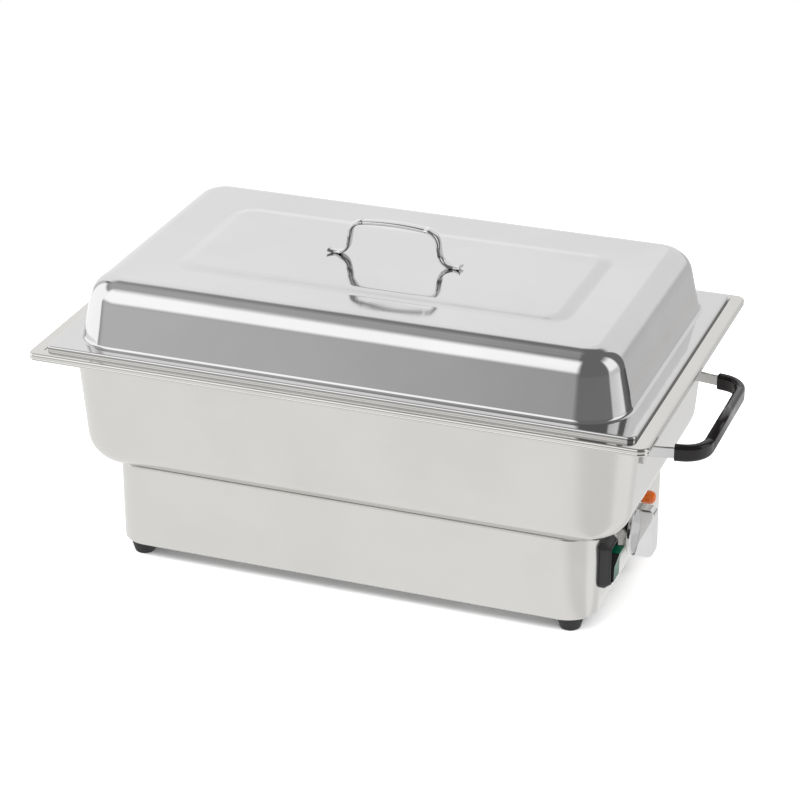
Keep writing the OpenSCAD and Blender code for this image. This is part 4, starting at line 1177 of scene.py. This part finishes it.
# %% [markdown]
# ## Plastic and rubber finishes
# Moulded parts have one even colour, so their detail is in the surface: a fine pitted skin from
# the mould, a slight drift in tone, and more or less gloss. The grips are nearly polished, the
# switch is half gloss, and the feet and the parts inside are matt. The two lenses are tinted
# plastic that lets some light into its depth, which subsurface scattering stands in for. The
# rocker's clear part is only its middle, and its sides are covered in black.

# %% One function for every moulded finish
PIT_RANGE = (0.3, 0.7)
SKIN_DEPTH = 0.1 * MM
GLOW_DEPTH = 3 * MM
COVER_BLACK = (0.012, 0.012, 0.012, 1)


def moulded(name, colour, dark, rough, bump, depth=0.0, glow=0.0, shine=1.5, clear=None):
    """Plastic or rubber: two tones, a range of roughness, and how deep light goes in.

    Outside the clear range (axis, low, high), if there is one, the piece is black.
    """
    material, tree = new_material(name)
    place = object_place(tree)
    skin = use_group(tree, moulded_skin, {"Coordinates": place, "Fineness": SKIN_FINENESS})
    tone = mix(tree, skin.outputs["Tint"], (*dark, 1), (*colour, 1), "RGBA")
    if clear:
        tone = mix(tree, overlap(tree, place, [clear]), COVER_BLACK, tone, "RGBA")
    level = rise(tree, skin.outputs["Pits"], *PIT_RANGE, *rough, "LINEAR")
    relief = add_node(tree, "ShaderNodeBump", None,
                      {"Strength": bump, "Distance": SKIN_DEPTH, "Height": skin.outputs["Pits"]})
    shader = tree.nodes["Principled BSDF"]
    shader.inputs["IOR"].default_value = shine
    shader.inputs["Subsurface Weight"].default_value = depth
    shader.inputs["Subsurface Scale"].default_value = GLOW_DEPTH
    shader.inputs["Emission Strength"].default_value = glow
    shader.inputs["Emission Color"].default_value = (*colour, 1)
    join(tree, tone, shader.inputs["Base Color"])
    join(tree, level, shader.inputs["Roughness"])
    join(tree, relief.outputs["Normal"], shader.inputs["Normal"])
    return material


# %% The moulded finishes
clear_half = 8 * MM
clear_middle = ("Y", abs(switch_y) - clear_half, abs(switch_y) + clear_half)
finishes.update({
    "foot_rubber": moulded("foot rubber", (0.025, 0.025, 0.026), (0.015, 0.015, 0.015),
                           rough=(0.6, 0.75), bump=0.3),
    "grip_plastic": moulded("grip plastic", (0.012, 0.010, 0.010), (0.008, 0.006, 0.006),
                            rough=(0.14, 0.2), bump=0.05, shine=1.45),
    "switch_plastic": moulded("switch plastic", (0.035, 0.035, 0.037), (0.022, 0.022, 0.023),
                              rough=(0.3, 0.42), bump=0.15),
    "dark_plastic": moulded("dark plastic", (0.05, 0.05, 0.05), (0.03, 0.03, 0.03),
                            rough=(0.45, 0.6), bump=0.2),
    "pale_plastic": moulded("terminal plastic", (0.72, 0.7, 0.64), (0.62, 0.6, 0.54),
                            rough=(0.45, 0.6), bump=0.2),
    "green_lens": moulded("green lens", (0.006, 0.16, 0.085), (0.003, 0.09, 0.05),
                          rough=(0.14, 0.2), bump=0.03, depth=0.25, shine=1.15,
                          clear=clear_middle),
    "orange_lens": moulded("orange lens", (0.85, 0.20, 0.025), (0.70, 0.12, 0.012),
                           rough=(0.08, 0.14), bump=0.03, depth=0.4, glow=0.08),
})
print("finishes in all:", len(finishes))

# %% [markdown]
# ## Dressing every node and piece
# The record names a finish for each CAD node. The nodes that aren't replaced are the parts inside
# the base, its plate and its screws, and they keep their CAD shape and take the matching
# material. The new pieces take theirs by the slot that they were given.

# %% Materials by slot
def dress(piece, material):
    piece.data.materials.clear()
    piece.data.materials.append(material)


for part in frame["record"]["subparts"]:
    dress(frame["nodes"][part["node"]], finishes[part["material_slot"]])
for piece, slot in new_pieces:
    dress(piece, finishes[slot])
print("dressed:", len(frame["nodes"]), "nodes and", len(new_pieces), "new pieces")

# %% [markdown]
# ## Floor
# The dish stands on a pale table. The camera sees it a little brighter than any other ray does, so
# that the background stays white while the soft shadow under the dish stays visible. Mirrored
# rays see the table as it looks in a studio. Seen from the dish's near right corner it falls into
# wedges: evenly lit in front, greyer to the right, bright under the right window, and grey again
# past the end. They give the corners their soft stripes. Past its edge the rays see the room.

# %% Named values of the floor
floor_radius = 1.1
floor_matt = 0.8
floor_seen = 1.9
table_bright = 1.03
table_corner = (0.25, -0.12)
table_edge = 0.82
table_edge_soft = 0.04


def table_wedge(bright, sides, soft):
    """A wedge of the table by its brightness and its two sides, in degrees from the front."""
    return {"bright": bright, "low": sides[0], "high": sides[1], "softness": soft}


table_wedges = [
    table_wedge(0.87, sides=(-4, 84), soft=24),
    table_wedge(1.06, sides=(84, 128), soft=8),
    table_wedge(0.88, sides=(136, 185), soft=8),
]


# %% The table that the metal mirrors
def mirrored_table(tree):
    """The shader of the table in its wedges, which ends at the table's edge."""
    place = object_place(tree)
    across = calculate(tree, "SUBTRACT", along(tree, place, "X"), table_corner[0])
    ahead = calculate(tree, "SUBTRACT", table_corner[1], along(tree, place, "Y"))
    degrees = calculate(tree, "DEGREES", calculate(tree, "ARCTAN2", across, ahead))
    level = table_bright
    for wedge in table_wedges:
        mask = strip(tree, degrees, wedge["low"], wedge["high"], wedge["softness"])
        level = mix(tree, mask, level, wedge["bright"])
    lit = add_node(tree, "ShaderNodeEmission", None, {"Strength": level})
    reach = add_node(tree, "ShaderNodeVectorMath", {"operation": "LENGTH"}, {0: place})
    past = rise(tree, reach.outputs["Value"], table_edge - table_edge_soft,
                table_edge + table_edge_soft)
    room = add_node(tree, "ShaderNodeBsdfTransparent")
    both = add_node(tree, "ShaderNodeMixShader", None,
                    {"Fac": past, 1: lit.outputs[0], 2: room.outputs[0]})
    return both.outputs[0]


# %% The floor
def build_floor():
    bm = bmesh.new()
    bmesh.ops.create_circle(bm, cap_ends=True, segments=64, radius=floor_radius)
    floor = new_object(bm, "floor", smooth=False)
    material, tree = new_material("pale table")
    tree.nodes.remove(tree.nodes["Principled BSDF"])
    light = add_node(tree, "ShaderNodeLightPath")
    seen = mix(tree, light.outputs["Is Camera Ray"], floor_matt, floor_seen)
    matt = add_node(tree, "ShaderNodeBsdfDiffuse", None, {"Color": seen})
    either = add_node(tree, "ShaderNodeMixShader", None,
                      {"Fac": light.outputs["Is Glossy Ray"], 1: matt.outputs[0],
                       2: mirrored_table(tree)})
    join(tree, either.outputs[0], tree.nodes["Material Output"].inputs["Surface"])
    floor.data.materials.append(material)


build_floor()

# %% [markdown]
# ## The room
# Polished metal shows nothing but the room, so the room is drawn with care. The camera sees plain
# white. Mirrored rays see a studio instead: a dark room with a tall window of light on the left,
# a broad bank of lights above the front, a second window on the right with a blind across its
# middle, pale walls behind, and a low dark door between them and that window. Each of them is a
# rectangle in two angles. *Round* is measured from straight in front of the dish, with the right
# side positive, and *up* is measured from the horizon. One node group turns the two angles into a
# mask with soft edges, and the masks are laid over each other from back to front.

# %% The soft box, a rectangle of light with soft edges
def make_soft_box():
    labels = ["Round", "Up", "Left", "Right", "Low", "High", "Side softness", "Level softness"]
    tree, given, out = new_group("Soft box", {label: 0.0 for label in labels}, ["Mask"])
    across = strip(tree, given["Round"], given["Left"], given["Right"], given["Side softness"])
    upright = strip(tree, given["Up"], given["Low"], given["High"], given["Level softness"])
    join(tree, calculate(tree, "MULTIPLY", across, upright), out["Mask"])
    return tree


soft_box = make_soft_box()

# %% Named lights of the room
room_dark = 0.19
room_matt = 0.75


def room_light(bright, sides, levels, soft):
    """A soft box: its brightness, its sides and levels in degrees, and how soft each pair is."""
    limits = {"Left": sides[0], "Right": sides[1], "Low": levels[0], "High": levels[1],
              "Side softness": soft[0], "Level softness": soft[1]}
    return bright, limits


room_lights = {
    "ceiling glow": room_light(0.5, sides=(-135, -50), levels=(46, 76), soft=(25, 8)),
    "glow right": room_light(0.23, sides=(-14, 86), levels=(-100, 2), soft=(6, 9)),
    "wall behind left": room_light(1.06, sides=(-200, -122), levels=(-100, 48), soft=(1.5, 7)),
    "wall behind middle": room_light(0.94, sides=(-200, -167), levels=(-100, 48), soft=(6, 7)),
    "wall behind right": room_light(0.66, sides=(149.5, 200), levels=(-100, 4), soft=(1.5, 7)),
    "upper wall behind right": room_light(0.94, sides=(149.5, 200), levels=(4, 47), soft=(1.5, 7)),
    "far table": room_light(0.64, sides=(-58, -13), levels=(-100, 10), soft=(13, 6)),
    "front bank": room_light(1.42, sides=(-66, -9), levels=(14, 61), soft=(10, 9)),
    "edge of left window": room_light(0.72, sides=(-122, -112), levels=(-18, 36), soft=(1, 4)),
    "left window": room_light(1.36, sides=(-112, -60), levels=(-100, 42), soft=(1.5, 5)),
    "left table": room_light(1.3, sides=(-200, -112), levels=(-100, -3), soft=(2, 4)),
    "right window": room_light(1.3, sides=(83, 119), levels=(-22, 50), soft=(4, 11)),
    "blind of right window": room_light(0.8, sides=(82, 120), levels=(-9, 10), soft=(4, 5)),
    "door right": room_light(0.05, sides=(119, 153), levels=(-100, -14), soft=(1.5, 3)),
}

# %% [markdown]
# The two angles come from the direction of the ray: the arc tangent of its level parts gives the
# way round and the arc sine of its height gives the way up. The lights are then laid over the dark
# room one after another, each through its own mask. Matt surfaces get one even light instead.

# %% The world
def build_world():
    world = bpy.data.worlds.new("studio")
    bpy.context.scene.world = world
    world.use_nodes = True
    tree = world.node_tree
    ray = add_node(tree, "ShaderNodeTexCoord").outputs["Generated"]
    front = calculate(tree, "MULTIPLY", along(tree, ray, "Y"), -1.0)
    turn = calculate(tree, "ARCTAN2", along(tree, ray, "X"), front)
    lift = calculate(tree, "ARCSINE", along(tree, ray, "Z"))
    angles = {"Round": calculate(tree, "DEGREES", turn), "Up": calculate(tree, "DEGREES", lift)}
    level = room_dark
    for name, (bright, limits) in room_lights.items():
        box = use_group(tree, soft_box, {**angles, **limits})
        box.label = name
        level = mix(tree, box.outputs["Mask"], level, bright)
    light = add_node(tree, "ShaderNodeLightPath")
    unseen = mix(tree, light.outputs["Is Glossy Ray"], room_matt, level)
    seen = mix(tree, light.outputs["Is Camera Ray"], unseen, 1.0)
    back = tree.nodes["Background"]
    back.inputs["Color"].default_value = (1, 1, 1, 1)
    join(tree, seen, back.inputs["Strength"])


build_world()
print("lights of the room:", ", ".join(room_lights))

# %% [markdown]
# ## Lamps and camera
# Two large soft lamps give the matt parts their shape and the dish its shadow. The metal doesn't
# mirror them, because the room has lights of its own. The camera stands where the photograph was
# taken from, with a long lens, so that parallel edges hardly converge.

# %% Soft lamps
lamp_aim = Vector((0, 0, 0.15))


def soft_lamp(name, place, size, power):
    """A square lamp that points at the dish."""
    data = bpy.data.lights.new(name, "AREA")
    data.size = size
    data.energy = power
    lamp = bpy.data.objects.new(name, data)
    bpy.context.scene.collection.objects.link(lamp)
    lamp.location = place
    lamp.rotation_euler = (lamp_aim - Vector(place)).to_track_quat("-Z", "Y").to_euler()
    lamp.visible_glossy = False
    print(name, "at", place)


soft_lamp("key lamp", place=(-0.9, -1.4, 2.2), size=1.4, power=26)
soft_lamp("fill lamp", place=(1.8, -0.6, 1.6), size=1.0, power=8)

# %% Camera
camera_place = Vector((0.81014, -2.18902, 1.25008))
camera_aim = Vector((-0.31170, 0.84804, -0.42856))
camera_data = bpy.data.cameras.new("camera")
camera_data.lens = 121.71
camera_data.sensor_width = 36
camera_data.clip_end = 20
camera = bpy.data.objects.new("camera", camera_data)
bpy.context.scene.collection.objects.link(camera)
camera.location = camera_place
camera.rotation_euler = camera_aim.to_track_quat("-Z", "Y").to_euler()
bpy.context.scene.camera = camera
bpy.context.scene.view_settings.view_transform = "Standard"
print("camera at", [round(part, 3) for part in camera_place])
